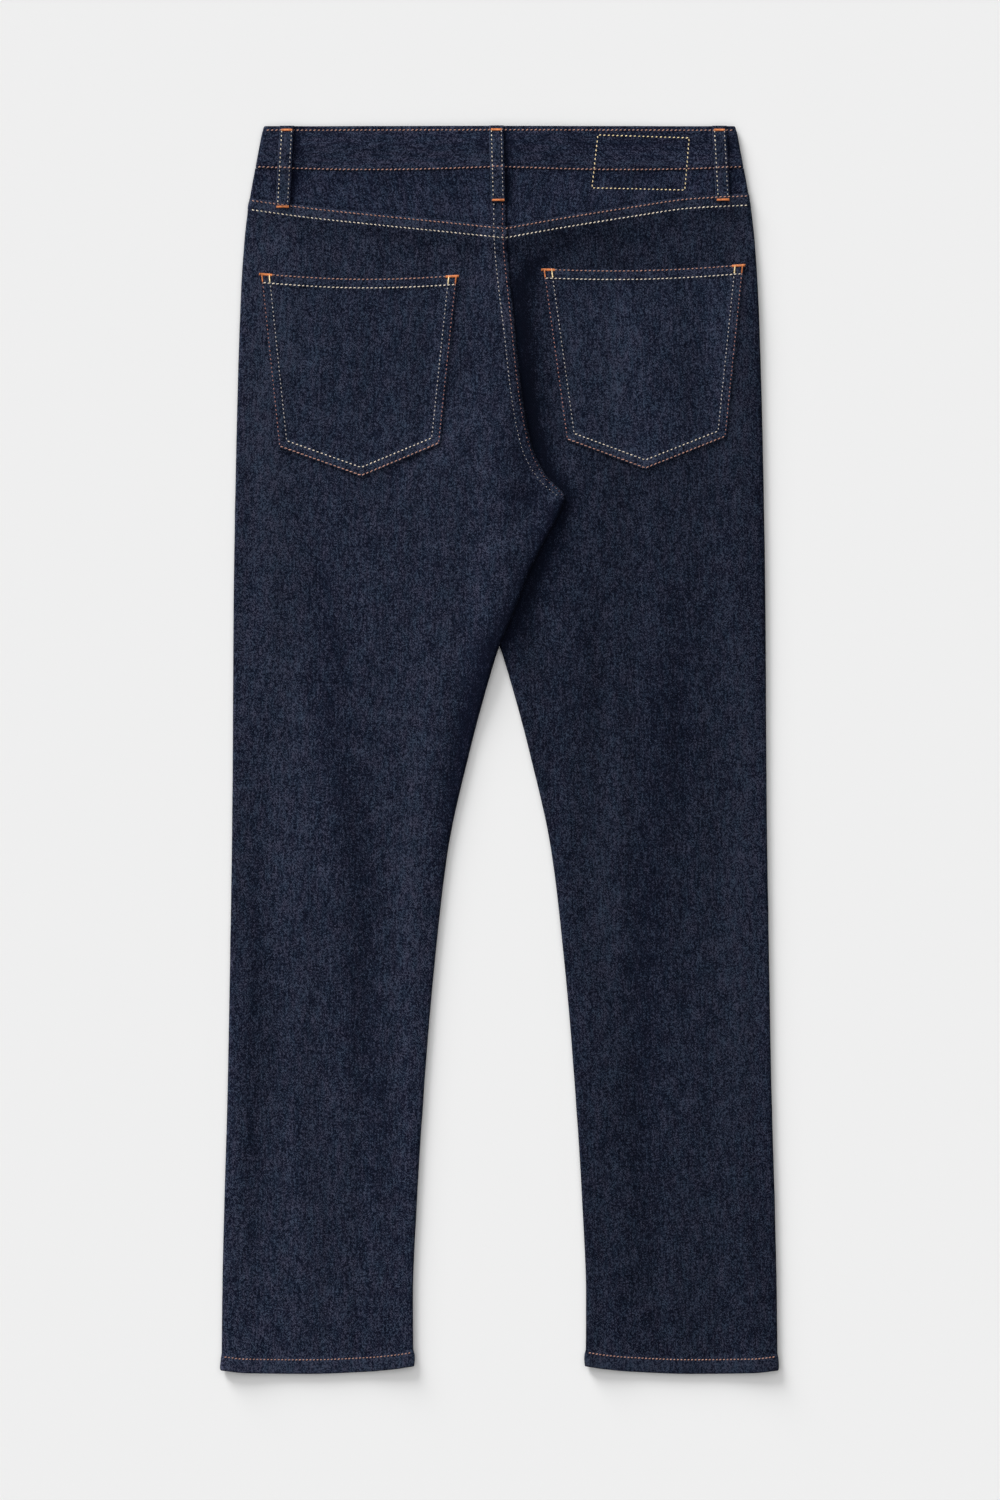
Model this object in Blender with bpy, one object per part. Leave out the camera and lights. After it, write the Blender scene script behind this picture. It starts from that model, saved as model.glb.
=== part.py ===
"""Slim jeans laid flat with the back up, built as the pieces that are cut and sewn.

The garment lies on its front. +Z is up, +Y points to the waist and X runs across, with the wearer's
left leg on the -X side. Each cloth piece is a thin closed wall: a grid of points on its outer face
and a grid on its inner face, joined round the rim. A point is placed by x and by "below", which is
its distance below the waistband's top edge. Lengths are in metres.
"""

import math

import bpy
import numpy as np
from mathutils import Vector
from mathutils.bvhtree import BVHTree

# Driving sizes
OUTSEAM = 1.0660
CLOTH = 0.0012
BAND = 0.0022
STRAP = 0.0018
GAP = 0.0003
LAYER = CLOTH + GAP
WAISTBAND = 0.0357
WAIST_SAG = 0.0016
FRONT_DIP = 0.0120
SEAM_LAP = 0.0090
HEM = 0.0130
HEM_EXTRA = 0.0010
LOOP_WIDTH = 0.0126
LOOP_OVER_EDGE = 0.0010
LOOP_ARCH = 0.0012
BUTTON_RADIUS = 0.0085

LEFT, RIGHT = -1, 1
SIDE_NAMES = {LEFT: "left", RIGHT: "right"}
WAIST_Y = (OUTSEAM - LOOP_OVER_EDGE) / 2

# Half width of the laid garment: below the waist, centre line to side edge
OUTER_EDGE = (
    (0.0000, 0.2014),
    (0.0070, 0.2032),
    (0.0350, 0.2086),
    (0.0750, 0.2155),
    (0.1000, 0.2182),
    (0.1480, 0.2212),
    (0.2330, 0.2240),
    (0.3100, 0.2257),
    (0.4040, 0.2272),
    (0.5750, 0.2283),
    (0.7460, 0.2309),
    (0.8320, 0.2326),
    (0.9170, 0.2351),
    (1.0030, 0.2370),
    (1.0660, 0.2376),
)
# Seat seam, crotch corner and inner leg: below the waist, distance from the centre line towards
# the leg's own side, so a negative one has crossed to the other side
INNER_EDGE = (
    (0.0300, -0.0052),
    (0.0860, -0.0056),
    (0.1530, -0.0112),
    (0.2150, -0.0173),
    (0.2510, -0.0227),
    (0.2780, -0.0295),
    (0.2990, -0.0400),
    (0.3080, -0.0490),
    (0.3130, -0.0540),
    (0.3183, -0.0556),
    (0.3260, -0.0533),
    (0.3530, -0.0392),
    (0.3800, -0.0258),
    (0.4160, -0.0122),
    (0.4446, 0.0002),
    (0.4728, 0.0090),
    (0.5330, 0.0252),
    (0.6180, 0.0440),
    (0.7040, 0.0543),
    (0.7890, 0.0620),
    (0.9170, 0.0705),
    (1.0030, 0.0740),
    (1.0660, 0.0735),
)
# The right half's hidden inner edge, down to the crotch corner, where it takes the same line
HIDDEN_EDGE = (
    (0.0300, -0.0056),
    (0.1900, -0.0056),
    (0.2000, 0.0005),
    (0.2400, 0.0005),
    (0.2550, -0.0080),
    (0.2700, -0.0190),
    (0.2850, -0.0330),
    (0.2980, -0.0455),
    (0.3070, -0.0530),
    (0.3130, -0.0552),
    (0.3183, -0.0556),
)
# The left front's edge from the fly to the crotch corner
FRONT_RISE = (
    (0.0300, -0.0060),
    (0.1900, -0.0060),
    (0.2000, 0.0005),
    (0.2400, 0.0005),
    (0.2550, -0.0130),
    (0.2700, -0.0235),
    (0.2850, -0.0290),
    (0.2980, -0.0362),
    (0.3070, -0.0450),
    (0.3130, -0.0510),
    (0.3183, -0.0556),
)
CROTCH = 0.3183
CROSS_START, CROSS_END = 0.2000, 0.2450
LEGS_PART = 0.4446

# Yoke seam: distance from the centre line, below the waist on the left, and on the right
YOKE_SEAM = (
    (0.0000, 0.0854, 0.0866),
    (0.0550, 0.0796, 0.0768),
    (0.1100, 0.0740, 0.0679),
    (0.1650, 0.0679, 0.0600),
    (0.2140, 0.0613, 0.0576),
)
# Hem's lower edge: share of the way from outseam to inseam, height above the lowest point
HEM_EDGE = (
    (0.00, 0.0030),
    (0.13, 0.0007),
    (0.45, 0.0000),
    (0.75, 0.0018),
    (0.90, 0.0041),
    (1.00, 0.0066),
)
# Front pocket opening: below the waist, distance from the centre line
SCOOP = (
    (0.0300, 0.1070),
    (0.0480, 0.1090),
    (0.0680, 0.1190),
    (0.0850, 0.1370),
    (0.0990, 0.1620),
    (0.1090, 0.1890),
    (0.1180, 0.2193),
)
SCOOP_END = 0.1180
SCOOP_LAP = 0.0180

# Back pockets: corners as (x, below the waist), and how far the opening sags
POCKETS = {
    LEFT: {
        "outer_top": (-0.2035, 0.1253),
        "inner_top": (-0.0346, 0.1270),
        "inner_bottom": (-0.0498, 0.2699),
        "point": (-0.1176, 0.2975),
        "outer_bottom": (-0.1880, 0.2732),
        "sag": 0.0037,
    },
    RIGHT: {
        "outer_top": (0.2088, 0.1167),
        "inner_top": (0.0368, 0.1221),
        "inner_bottom": (0.0569, 0.2663),
        "point": (0.1246, 0.2918),
        "outer_bottom": (0.1937, 0.2639),
        "sag": 0.0032,
    },
}
POCKET_HEM = 0.0085
POCKET_TURNED = 0.0006

# Back belt loops: name, x at the top, x at the foot, foot below the waist
BACK_LOOPS = (
    ("belt_loop_centre", -0.0028, -0.0012, 0.0638),
    ("belt_loop_side_left", -0.1817, -0.1852, 0.0693),
    ("belt_loop_side_right", 0.1877, 0.1908, 0.0633),
)
FRONT_LOOP_X = 0.0880
FRONT_LOOP_LENGTH = 0.0640

# Heights of the laid layers above the floor
FLOOR_LIFT = STRAP + GAP
LEG_HOLLOW = 0.0013
SEAT_STACK = 0.0010
FLY_STACK = 0.0018
SEAM_HEIGHT = 0.0030
EDGE_BULGE = 0.0023
WAIST_BULGE = 0.0008
HIDDEN_HEIGHT = 0.0020
TUBE_RISE = 0.0043
CURL_REACH = 0.0030
LEAST_CURL = 0.0002
# How far the left half's turned edge stands up: below the waist, bulge
SEAT_BULGE = (
    (0.0000, 0.0001),
    (0.0860, 0.0002),
    (0.1300, 0.0016),
    (0.1800, 0.0027),
    (0.2600, 0.0026),
    (0.3200, 0.0023),
    (1.0660, 0.0023),
)
ZIP_TAPE = 0.0010
FLY_END = 0.1850

ZIP_HALF_WIDTH = 0.0120
ZIP_CENTRE = -0.0060
# Where the right front climbs over the left one at the fly, and the room kept before a layer
FLY_RAMP = (0.0080, 0.0220)
LIFT_CLEAR = 0.0020
BACK_SOFTNESS = 0.0300
BAND_CURL = 0.0030
LEFT_BAND_END, RIGHT_BAND_END = 0.0250, -0.0350
BAND_RAMP = (0.0280, 0.0500)
POCKET_GAP = 0.00035
NEARBY = 0.0040

# Steps of each grid: side curl, outer part, ramp, inner part
CURL_STEPS = 3
BACK_STEPS = (6, 3, 4)
FRONT_STEPS = (4, 3, 3)
YOKE_STEPS = (6, 3, 2)

INDIGO = (0.016, 0.021, 0.040)
METAL = (0.45, 0.36, 0.22)
TAPE = (0.012, 0.014, 0.024)


def ease(value, start, end):
    """0 before start, 1 after end, and a smooth rise between them."""
    share = np.clip((np.asarray(value, float) - start) / (end - start), 0, 1)
    return share * share * (3 - 2 * share)


def read(table, at, column=1):
    """A smooth curve through a table's rows, without overshoot."""
    knots = np.array([row[0] for row in table])
    values = np.array([row[column] for row in table])
    slopes = np.diff(values) / np.diff(knots)
    tangents = np.empty(len(knots))
    tangents[0], tangents[-1] = slopes[0], slopes[-1]
    before, after = slopes[:-1], slopes[1:]
    even = 2 * before * after / np.where(before + after == 0, 1, before + after)
    tangents[1:-1] = np.where(before * after > 0, even, 0)
    at = np.clip(np.asarray(at, float), knots[0], knots[-1])
    i = np.clip(np.searchsorted(knots, at) - 1, 0, len(knots) - 2)
    step = knots[i + 1] - knots[i]
    t = (at - knots[i]) / step
    start = (1 + 2 * t) * (1 - t) ** 2 * values[i] + t * (1 - t) ** 2 * step * tangents[i]
    end = t * t * (3 - 2 * t) * values[i + 1] + t * t * (t - 1) * step * tangents[i + 1]
    return start + end


def outer_edge(below):
    return read(OUTER_EDGE, below)


def inner_edge(side, below):
    """The half's inner edge, measured towards its own side."""
    seen = read(INNER_EDGE, below)
    if side == LEFT:
        return seen
    return np.where(np.asarray(below) < CROTCH, read(HIDDEN_EDGE, below), seen)


def front_inner_edge(side, below):
    if side == RIGHT:
        return inner_edge(RIGHT, below)
    return np.where(np.asarray(below) < CROTCH, read(FRONT_RISE, below), read(INNER_EDGE, below))


def yoke_seam(side, across):
    return read(YOKE_SEAM, across, 1 if side == LEFT else 2)


def waist_seam(across):
    """The waistband's lower edge, which sags a little between the centre and the side."""
    share = np.clip(np.asarray(across) / outer_edge(WAISTBAND), 0, 1)
    return WAISTBAND + WAIST_SAG * np.sin(np.pi * share)


def front_dip(x):
    """How far the front waist lies below the back waist."""
    return FRONT_DIP * (1 - ease(np.abs(x), 0, outer_edge(0)))


def front_seam(x):
    return WAISTBAND + front_dip(x)


# Heights


def floor_lift(x, below):
    """The front waist rests on its belt loops and its button."""
    return FLOOR_LIFT * (1 - ease(np.abs(x), 0.106, 0.158)) * (1 - ease(below, 0.080, 0.125))


def back_floor(x, below):
    """Height of the back cloth's inner face where nothing lifts it further."""
    seat = SEAT_STACK * (1 - ease(below, 0.170, 0.250))
    fly = FLY_STACK * (1 - ease(np.abs(x), 0.030, 0.095)) * (1 - ease(below, 0.195, 0.240))
    return floor_lift(x, below) + CLOTH + LEG_HOLLOW + seat + fly


def tube_rise(below, waist_rise):
    """How far the left half's inner part is lifted by the right half under it."""
    climb = ease(below, CROSS_START, CROSS_END)
    fall = 1 - ease(below, LEGS_PART, 0.530)
    return (waist_rise + (TUBE_RISE - waist_rise) * climb) * fall


def lift_line(below):
    """x where the right half begins under the left half."""
    below = np.asarray(below, float)
    return np.where(below < CROTCH, read(HIDDEN_EDGE, below), -np.abs(read(INNER_EDGE, below)))


def lift_bends(side, below):
    """Where the inner part climbs over what lies under it: far and near end of the ramp."""
    if side == RIGHT:
        near = np.full_like(np.asarray(below, float), FLY_RAMP[0])
        return near + FLY_RAMP[1] - FLY_RAMP[0], near
    near = LIFT_CLEAR - lift_line(below)
    return near + 0.012 + 0.014 * ease(below, CROSS_START, CROSS_END), near


def left_lift(x, below, waist_rise, softer=0.0):
    far, near = lift_bends(LEFT, below)
    far = far + softer * ease(below, CROSS_START - 0.02, CROSS_END)
    share = np.clip((far + x) / (far - near), 0, 1)
    return tube_rise(below, waist_rise) * share * share * (3 - 2 * share)


def inner_bulge(side, below):
    if side == LEFT:
        return read(SEAT_BULGE, below)
    hidden = 2 * HIDDEN_HEIGHT - 2 * CLOTH - LEG_HOLLOW
    return hidden * ease(below, 0.245, 0.275) + (EDGE_BULGE - hidden) * ease(below, 0.450, 0.530)


def outer_bulge(below):
    return WAIST_BULGE + (EDGE_BULGE - WAIST_BULGE) * ease(below, 0.06, 0.20)


def back_under(side, x, below):
    """Height of the inner face of the back cloth on this side."""
    from_outer = outer_edge(below) - side * x
    from_inner = side * x - inner_edge(side, below)
    height = back_floor(x, below)
    height = height + outer_bulge(below) * (1 - ease(from_outer, 0.007, 0.055))
    height = height + inner_bulge(side, below) * (1 - ease(from_inner, 0.006, 0.050))
    if side == LEFT:
        height = height + left_lift(x, below, LAYER, BACK_SOFTNESS)
    return height


def leg_under(side, x, below):
    """The leg panel lies on the yoke along their seam."""
    across = np.clip(side * x, 0, outer_edge(0.07))
    past_seam = below - yoke_seam(side, across)
    on_yoke = 1 - ease(past_seam, SEAM_LAP + 0.001, SEAM_LAP + 0.018)
    return back_under(side, x, below) + LAYER * on_yoke


def front_under(side, x, below):
    """Height of the outer, lower face of the front cloth on this side."""
    height = floor_lift(x, below)
    if side == LEFT:
        return height + left_lift(x, below, 0.0)
    over_fly = (1 - ease(x, *FLY_RAMP)) * (1 - ease(below, 0.203, 0.215))
    return height + LAYER * over_fly


def inseam_height(side, below):
    """Height at which the back and front meet along the inner leg."""
    if side == LEFT:
        return SEAM_HEIGHT + tube_rise(below, 0.0)
    return HIDDEN_HEIGHT + (SEAM_HEIGHT - HIDDEN_HEIGHT) * ease(below, 0.450, 0.530)


# Walls


def material(name, colour, roughness, metallic):
    made = bpy.data.materials.get(name) or bpy.data.materials.new(name)
    made.use_nodes = True
    shader = made.node_tree.nodes["Principled BSDF"]
    shader.inputs["Base Color"].default_value = (*colour, 1)
    shader.inputs["Roughness"].default_value = roughness
    shader.inputs["Metallic"].default_value = metallic
    return made


def signed_volume(points, faces):
    total = 0.0
    for face in faces:
        first = points[face[0]]
        for i in range(1, len(face) - 1):
            total += np.dot(first, np.cross(points[face[i]], points[face[i + 1]]))
    return total / 6


def add_object(name, points, faces, look):
    if signed_volume(points, faces) < 0:
        faces = [tuple(reversed(f)) for f in faces]
    mesh = bpy.data.meshes.new(name)
    mesh.from_pydata([tuple(p) for p in points], [], faces)
    mesh.materials.append(look)
    mesh.shade_smooth()
    mesh.set_sharp_from_angle(angle=math.radians(40))
    made = bpy.data.objects.new(name, mesh)
    bpy.context.scene.collection.objects.link(made)
    return made


def add_wall(name, outer, inner, look):
    """A closed wall between two grids of points with the same rows and columns."""
    rows, columns = outer.shape[:2]
    points = np.concatenate([outer.reshape(-1, 3), inner.reshape(-1, 3)])
    under = rows * columns
    faces = []
    for r in range(rows - 1):
        for c in range(columns - 1):
            a = r * columns + c
            quad = (a, a + 1, a + columns + 1, a + columns)
            faces.append(quad)
            faces.append(tuple(under + i for i in reversed(quad)))
    rim = [(0, c) for c in range(columns)]
    rim += [(r, columns - 1) for r in range(1, rows)]
    rim += [(rows - 1, c) for c in range(columns - 2, -1, -1)]
    rim += [(r, 0) for r in range(rows - 2, 0, -1)]
    for (r, c), (next_r, next_c) in zip(rim, rim[1:] + rim[:1]):
        a, b = r * columns + c, next_r * columns + next_c
        faces.append((b, a, under + a, under + b))
    return add_object(name, points, faces, look)


def place(x, below, height):
    return np.stack(np.broadcast_arrays(x, WAIST_Y - below, height), axis=-1)


def spread(steps, closer_start, closer_end):
    """Shares from 0 to 1, closer together near the ends that are asked for."""
    even = np.arange(steps + 1) / steps
    if closer_start and closer_end:
        return (1 - np.cos(np.pi * even)) / 2
    if closer_start:
        return 1 - np.cos(np.pi / 2 * even)
    return np.sin(np.pi / 2 * even) if closer_end else even


def flat_columns(side, below, edges, steps):
    """Distance of each flat column from the centre line, towards the piece's own side."""
    inward = CURL_REACH + CLOTH / 2
    start, stop = edges[0](below) - inward, edges[1](below) + inward
    far, near = lift_bends(side, below)
    near = np.clip(near, stop + 0.004, None)
    far = np.minimum(np.maximum(far, near + 0.008), start - 0.010)
    spans = (
        (start, far, spread(steps[0], True, False)),
        (far, near, spread(steps[1], False, False)[1:]),
        (near, stop, spread(steps[2], False, True)[1:]),
    )
    across = []
    for first, last, shares in spans:
        for share in shares:
            c = len(across)
            across.append(first[c] + (last[c] - first[c]) * share)
    return np.array(across)


def curled_wall(name, side, sections, edges, under, ends, up, steps, look, extra=None):
    """A panel whose two side edges curl towards the cloth that they are sewn to.

    A section gives "below" for a distance across. edges gives the outer and the inner edge, and
    ends the heights that the curls end at. up is 1 where the outer face is the upper one and -1
    where it is the lower one. extra thickens the outer face of each section.
    """
    half = CLOTH / 2
    count = sum(steps) + 1
    outer, inner = [], []
    for index, section in enumerate(sections):
        across = np.linspace(0.2, 0.0, count)
        for _ in range(6):
            across = flat_columns(side, section(across), edges, steps)
        below = section(across)
        middle = under(side * across, below) + half
        thick = half + (extra[index] if extra else 0)
        row = [(a, b, h, 0.0, up) for a, b, h in zip(across, below, middle)]
        for which, way in ((0, 1), (-1, -1)):
            top, base = middle[which], across[which]
            curl = []
            for k in range(CURL_STEPS, 0, -1):
                angle = math.pi / 2 * (k - 1) / CURL_STEPS
                inset = half + CURL_REACH * (1 - math.cos(angle))
                a = base
                for _ in range(3):
                    b = float(section(a))
                    a = float(edges[which](b)) - way * inset
                foot = float(ends[which](side * a, b, top))
                rise = abs(top - foot)
                length = math.hypot(rise * math.cos(angle), CURL_REACH * math.sin(angle))
                height = foot + (top - foot) * math.sin(angle)
                normal = (way * rise * math.cos(angle) / length, up * CURL_REACH * math.sin(angle) / length)
                curl.append((a, b, height, *normal))
            row = curl[::-1] + row if which == 0 else row + curl
        row = np.array(row)
        x, below, height = side * row[:, 0], row[:, 1], row[:, 2]
        normal_x, normal_z = side * row[:, 3], row[:, 4]
        outer.append(place(x + normal_x * thick, below, height + normal_z * thick))
        inner.append(place(x - normal_x * half, below, height - normal_z * half))
    return add_wall(name, np.array(outer), np.array(inner), look)


# Pieces


def hem_rise(across):
    wide, narrow = outer_edge(1.05), inner_edge(RIGHT, 1.05)
    return read(HEM_EDGE, np.clip((wide - across) / (wide - narrow), 0, 1))


def lap_section(side, past_seam):
    return lambda across: yoke_seam(side, np.clip(across, 0, None)) + past_seam


def hem_section(up_from_edge):
    return lambda across: OUTSEAM - hem_rise(across) - up_from_edge


def back_section(side, station):
    def section(across):
        seam = yoke_seam(side, np.clip(across, 0, None))
        top = (seam - 0.072) * (1 - ease(station, 0.090, 0.200))
        return station + top - hem_rise(across) * ease(station, 0.900, 1.050)

    return section


def waist_section(past_seam):
    return lambda across: front_seam(across) + past_seam


def front_section(station):
    def section(across):
        top = (front_dip(across) - FRONT_DIP / 2) * (1 - ease(station, 0.050, 0.090))
        return station + top - hem_rise(across) * ease(station, 0.900, 1.050)

    return section


def outseam_end(up):
    return lambda x, below, flat: SEAM_HEIGHT + up * GAP / 2


CROSS_STATIONS = (
    (0.240, 0.255, 0.270, 0.285, 0.298, 0.307, 0.313, CROTCH, 0.328, 0.345, 0.365, 0.390)
    + (0.418, LEGS_PART, 0.465, 0.490, 0.517, 0.548, 0.583)
)
BACK_STATIONS = (
    (0.120, 0.140, 0.160, 0.180, 0.200, 0.220)
    + CROSS_STATIONS
    + (0.625, 0.675, 0.735, 0.805, 0.875, 0.940, 0.995, 1.033)
)
FRONT_STATIONS = (
    (0.063, 0.080, 0.093, 0.104, 0.112, SCOOP_END, 0.128, 0.150, 0.175, 0.190, 0.203, 0.220)
    + CROSS_STATIONS
    + (0.630, 0.690, 0.770, 0.860, 0.950, 1.033)
)


def back_panel(side, look):
    def inseam_end(x, below, flat):
        edge = side * inner_edge(side, below)
        plain = flat - LEAST_CURL
        sewn = inseam_height(side, below) + GAP / 2
        if side == RIGHT:
            return plain + (np.minimum(sewn, plain) - plain) * ease(below, 0.245, 0.275)
        on_right = np.minimum(leg_under(RIGHT, edge, below) + CLOTH + GAP, plain)
        return on_right + (sewn - on_right) * ease(below, 0.306, CROTCH)

    sections = [lap_section(side, s) for s in (0.0, SEAM_LAP + 0.002, SEAM_LAP + 0.016)]
    sections += [back_section(side, s) for s in BACK_STATIONS]
    sections += [hem_section(s) for s in (HEM + 0.001, HEM, 0.0)]
    extra = [0.0] * (len(sections) - 2) + [HEM_EXTRA] * 2
    return curled_wall(
        f"back_{SIDE_NAMES[side]}", side, sections,
        (outer_edge, lambda below: inner_edge(side, below)),
        lambda x, below: leg_under(side, x, below),
        (outseam_end(1), inseam_end), 1, BACK_STEPS, look, extra,
    )


def front_panel(side, look):
    def front_outer_edge(below):
        return np.where(below < SCOOP_END, read(SCOOP, below), outer_edge(below))

    def outer_end(x, below, flat):
        plain = flat + LEAST_CURL
        sewn = SEAM_HEIGHT - GAP / 2
        return plain + (sewn - plain) * ease(below, SCOOP_END, SCOOP_END + 0.008)

    def inseam_end(x, below, flat):
        plain = flat + LEAST_CURL
        sewn = inseam_height(side, below) - GAP / 2
        if side == RIGHT:
            return plain + (np.maximum(sewn, plain) - plain) * ease(below, 0.245, 0.275)
        return plain + (sewn - plain) * ease(below, 0.312, CROTCH)

    sections = [waist_section(s) for s in (GAP, 0.012)]
    sections += [front_section(s) for s in FRONT_STATIONS]
    sections += [hem_section(s) for s in (HEM, 0.0)]
    return curled_wall(
        f"front_{SIDE_NAMES[side]}", side, sections,
        (front_outer_edge, lambda below: front_inner_edge(side, below)),
        lambda x, below: front_under(side, x, below),
        (outer_end, inseam_end), -1, FRONT_STEPS, look,
    )


def yoke(side, look):
    """Its lower edge runs under the leg panel, and only butts against it near both ends."""

    def hidden_lap(across):
        wide = outer_edge(0.08)
        return SEAM_LAP * ease(across, 0.012, 0.032) * (1 - ease(across, wide - 0.032, wide - 0.014))

    def section(share):
        def row(across):
            seam = np.clip(across, 0, None)
            top = waist_seam(seam) + GAP
            foot = yoke_seam(side, seam) + hidden_lap(seam) - GAP
            return top + (foot - top) * share

        return row

    def centre_end(x, below, flat):
        plain = flat - LEAST_CURL
        if side == RIGHT:
            return plain
        edge = side * inner_edge(side, below)
        return np.minimum(back_under(RIGHT, edge, below) + CLOTH + GAP, plain)

    return curled_wall(
        f"yoke_{SIDE_NAMES[side]}", side, [section(s) for s in (0.0, 0.3, 0.6, 0.82, 1.0)],
        (outer_edge, lambda below: inner_edge(side, below)),
        lambda x, below: back_under(side, x, below),
        (outseam_end(1), centre_end), 1, YOKE_STEPS, look,
    )


def band_back_middle(x):
    """Height of the middle of the back waistband's cloth."""
    from_side = outer_edge(WAISTBAND / 2) - np.abs(x)
    bulge = WAIST_BULGE * (1 - ease(from_side, 0.007, 0.055))
    return back_floor(x, WAISTBAND / 2) + bulge + BAND / 2


def band_front_middle(x, right):
    lap = (BAND + GAP) * (1 - ease(x, *BAND_RAMP)) if right else 0
    return floor_lift(x, WAISTBAND / 2) + lap + BAND / 2


def waistband(look):
    """One strip from the outer front end, round both sides, to the inner front end."""
    rows = []
    for share in (0.0, 0.33, 0.67, 1.0):
        edge = outer_edge(WAISTBAND * share)
        reach = edge - BAND / 2 - BAND_CURL
        strip = []
        for part in spread(9, False, True):
            x = LEFT_BAND_END + (-reach - LEFT_BAND_END) * part
            strip.append((x, front_dip(x), WAISTBAND, band_front_middle(x, False), 0, -1))
        strip += band_side(LEFT, edge, (-80, -40, 0, 40, 80))
        for part in spread(18, True, True):
            x = reach * (2 * part - 1)
            height = band_back_middle(x)
            strip.append((x, 0, waist_seam(abs(x)), height, 0, 1))
        strip += band_side(RIGHT, edge, (80, 40, 0, -40, -80))
        for part in spread(12, True, False):
            x = reach + (RIGHT_BAND_END - reach) * part
            strip.append((x, front_dip(x), WAISTBAND, band_front_middle(x, True), 0, -1))
        rows.append([(x, top + wide * share, *rest) for x, top, wide, *rest in strip])
    grid = np.array(rows)
    x, below, height, normal_x, normal_z = np.moveaxis(grid, -1, 0)
    half = BAND / 2
    outer = place(x + normal_x * half, below, height + normal_z * half)
    inner = place(x - normal_x * half, below, height - normal_z * half)
    return add_wall("waistband", outer, inner, look)


def band_side(side, edge, degrees):
    low, high = band_front_middle(side * edge, False), band_back_middle(side * edge)
    semi = (high - low) / 2
    strip = []
    for angle in np.radians(degrees):
        x = side * (edge - BAND / 2 - BAND_CURL * (1 - math.cos(angle)))
        length = math.hypot(semi * math.cos(angle), BAND_CURL * math.sin(angle))
        normal = (side * semi * math.cos(angle) / length, BAND_CURL * math.sin(angle) / length)
        strip.append((x, 0, WAISTBAND, (low + high) / 2 + semi * math.sin(angle), *normal))
    return strip


def top_of(pieces):
    """Height of the upper cloth at a place, found on the pieces' own meshes."""
    trees = []
    for piece in pieces:
        mesh = piece.data
        polygons = [tuple(p.vertices) for p in mesh.polygons]
        trees.append(BVHTree.FromPolygons([v.co for v in mesh.vertices], polygons))

    def height(x, below):
        found = 0.0
        for dx, dy in ((0, 0), (-NEARBY, 0), (NEARBY, 0), (0, -NEARBY), (0, NEARBY)):
            start = Vector((x + dx, WAIST_Y - below + dy, 1.0))
            for tree in trees:
                spot = tree.ray_cast(start, Vector((0, 0, -1)))[0]
                if spot is not None:
                    found = max(found, spot.z)
        return found

    return height


def back_pocket(side, panel, look):
    """A five-sided patch with thicker turned edges, laid on the back panel."""
    shape = POCKETS[side]
    corner = {key: np.array(shape[key]) for key in shape if key != "sag"}
    panel_top = top_of([panel])
    turned = POCKET_HEM / abs(corner["inner_top"][0] - corner["outer_top"][0])
    sides = [0, turned, turned + 0.012, 0.17, 0.28, 0.39, 0.5]
    across = sides + [1 - s for s in sides[-2::-1]]
    down = [0, 0.055, 0.068, 0.16, 0.27, 0.38, 0.5, 0.62, 0.74, 0.85, 0.93, 0.945, 1]
    outer, inner = [], []
    for v in down:
        outer_row, inner_row = [], []
        for u in across:
            top = corner["outer_top"] * (1 - u) + corner["inner_top"] * u
            top = top + np.array([0, shape["sag"] * math.sin(math.pi * u)])
            if u <= 0.5:
                foot = corner["outer_bottom"] * (1 - 2 * u) + corner["point"] * 2 * u
            else:
                foot = corner["point"] * (2 - 2 * u) + corner["inner_bottom"] * (2 * u - 1)
            x, below = top * (1 - v) + foot * v
            border = u <= turned or u >= 1 - turned or v <= 0.055 or v >= 0.945
            low = panel_top(x, below) + POCKET_GAP
            high = low + CLOTH + (POCKET_TURNED if border else 0)
            outer_row.append((x, WAIST_Y - below, high))
            inner_row.append((x, WAIST_Y - below, low))
        outer.append(outer_row)
        inner.append(inner_row)
    return add_wall(f"back_pocket_{SIDE_NAMES[side]}", np.array(outer), np.array(inner), look)


def back_loop(name, head_x, foot_x, foot, under_it, look):
    """A strap over the waistband, flat at both ends and free of the band between them."""
    under = top_of(under_it)
    outer, inner = [], []
    for share in (0, 0.05, 0.14, 0.30, 0.46, 0.55, 0.60, 0.68, 0.80, 0.90, 1):
        below = -LOOP_OVER_EDGE + (foot + LOOP_OVER_EDGE) * share
        middle = head_x + (foot_x - head_x) * share
        width = np.linspace(-LOOP_WIDTH / 2, LOOP_WIDTH / 2, 5)
        rest = max(under(middle + w, max(below, 0.0004)) for w in width)
        arch = LOOP_ARCH * float(ease(share, 0.02, 0.25) * (1 - ease(share, 0.5, 0.85)))
        low = rest + GAP + arch
        outer.append([(middle + w, WAIST_Y - below, low + STRAP) for w in width])
        inner.append([(middle + w, WAIST_Y - below, low) for w in width])
    return add_wall(name, np.array(outer), np.array(inner), look)


def front_loop(side, look):
    x = side * FRONT_LOOP_X
    top = front_dip(x) - LOOP_OVER_EDGE
    corners = []
    for height in (STRAP, 0.0):
        for share in (0, 1):
            below = top + FRONT_LOOP_LENGTH * share
            corners.append([(x + w, WAIST_Y - below, height) for w in (-LOOP_WIDTH / 2, LOOP_WIDTH / 2)])
    lower, upper = np.array(corners[2:]), np.array(corners[:2])
    return add_wall(f"belt_loop_front_{SIDE_NAMES[side]}", upper, lower, look)


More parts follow.
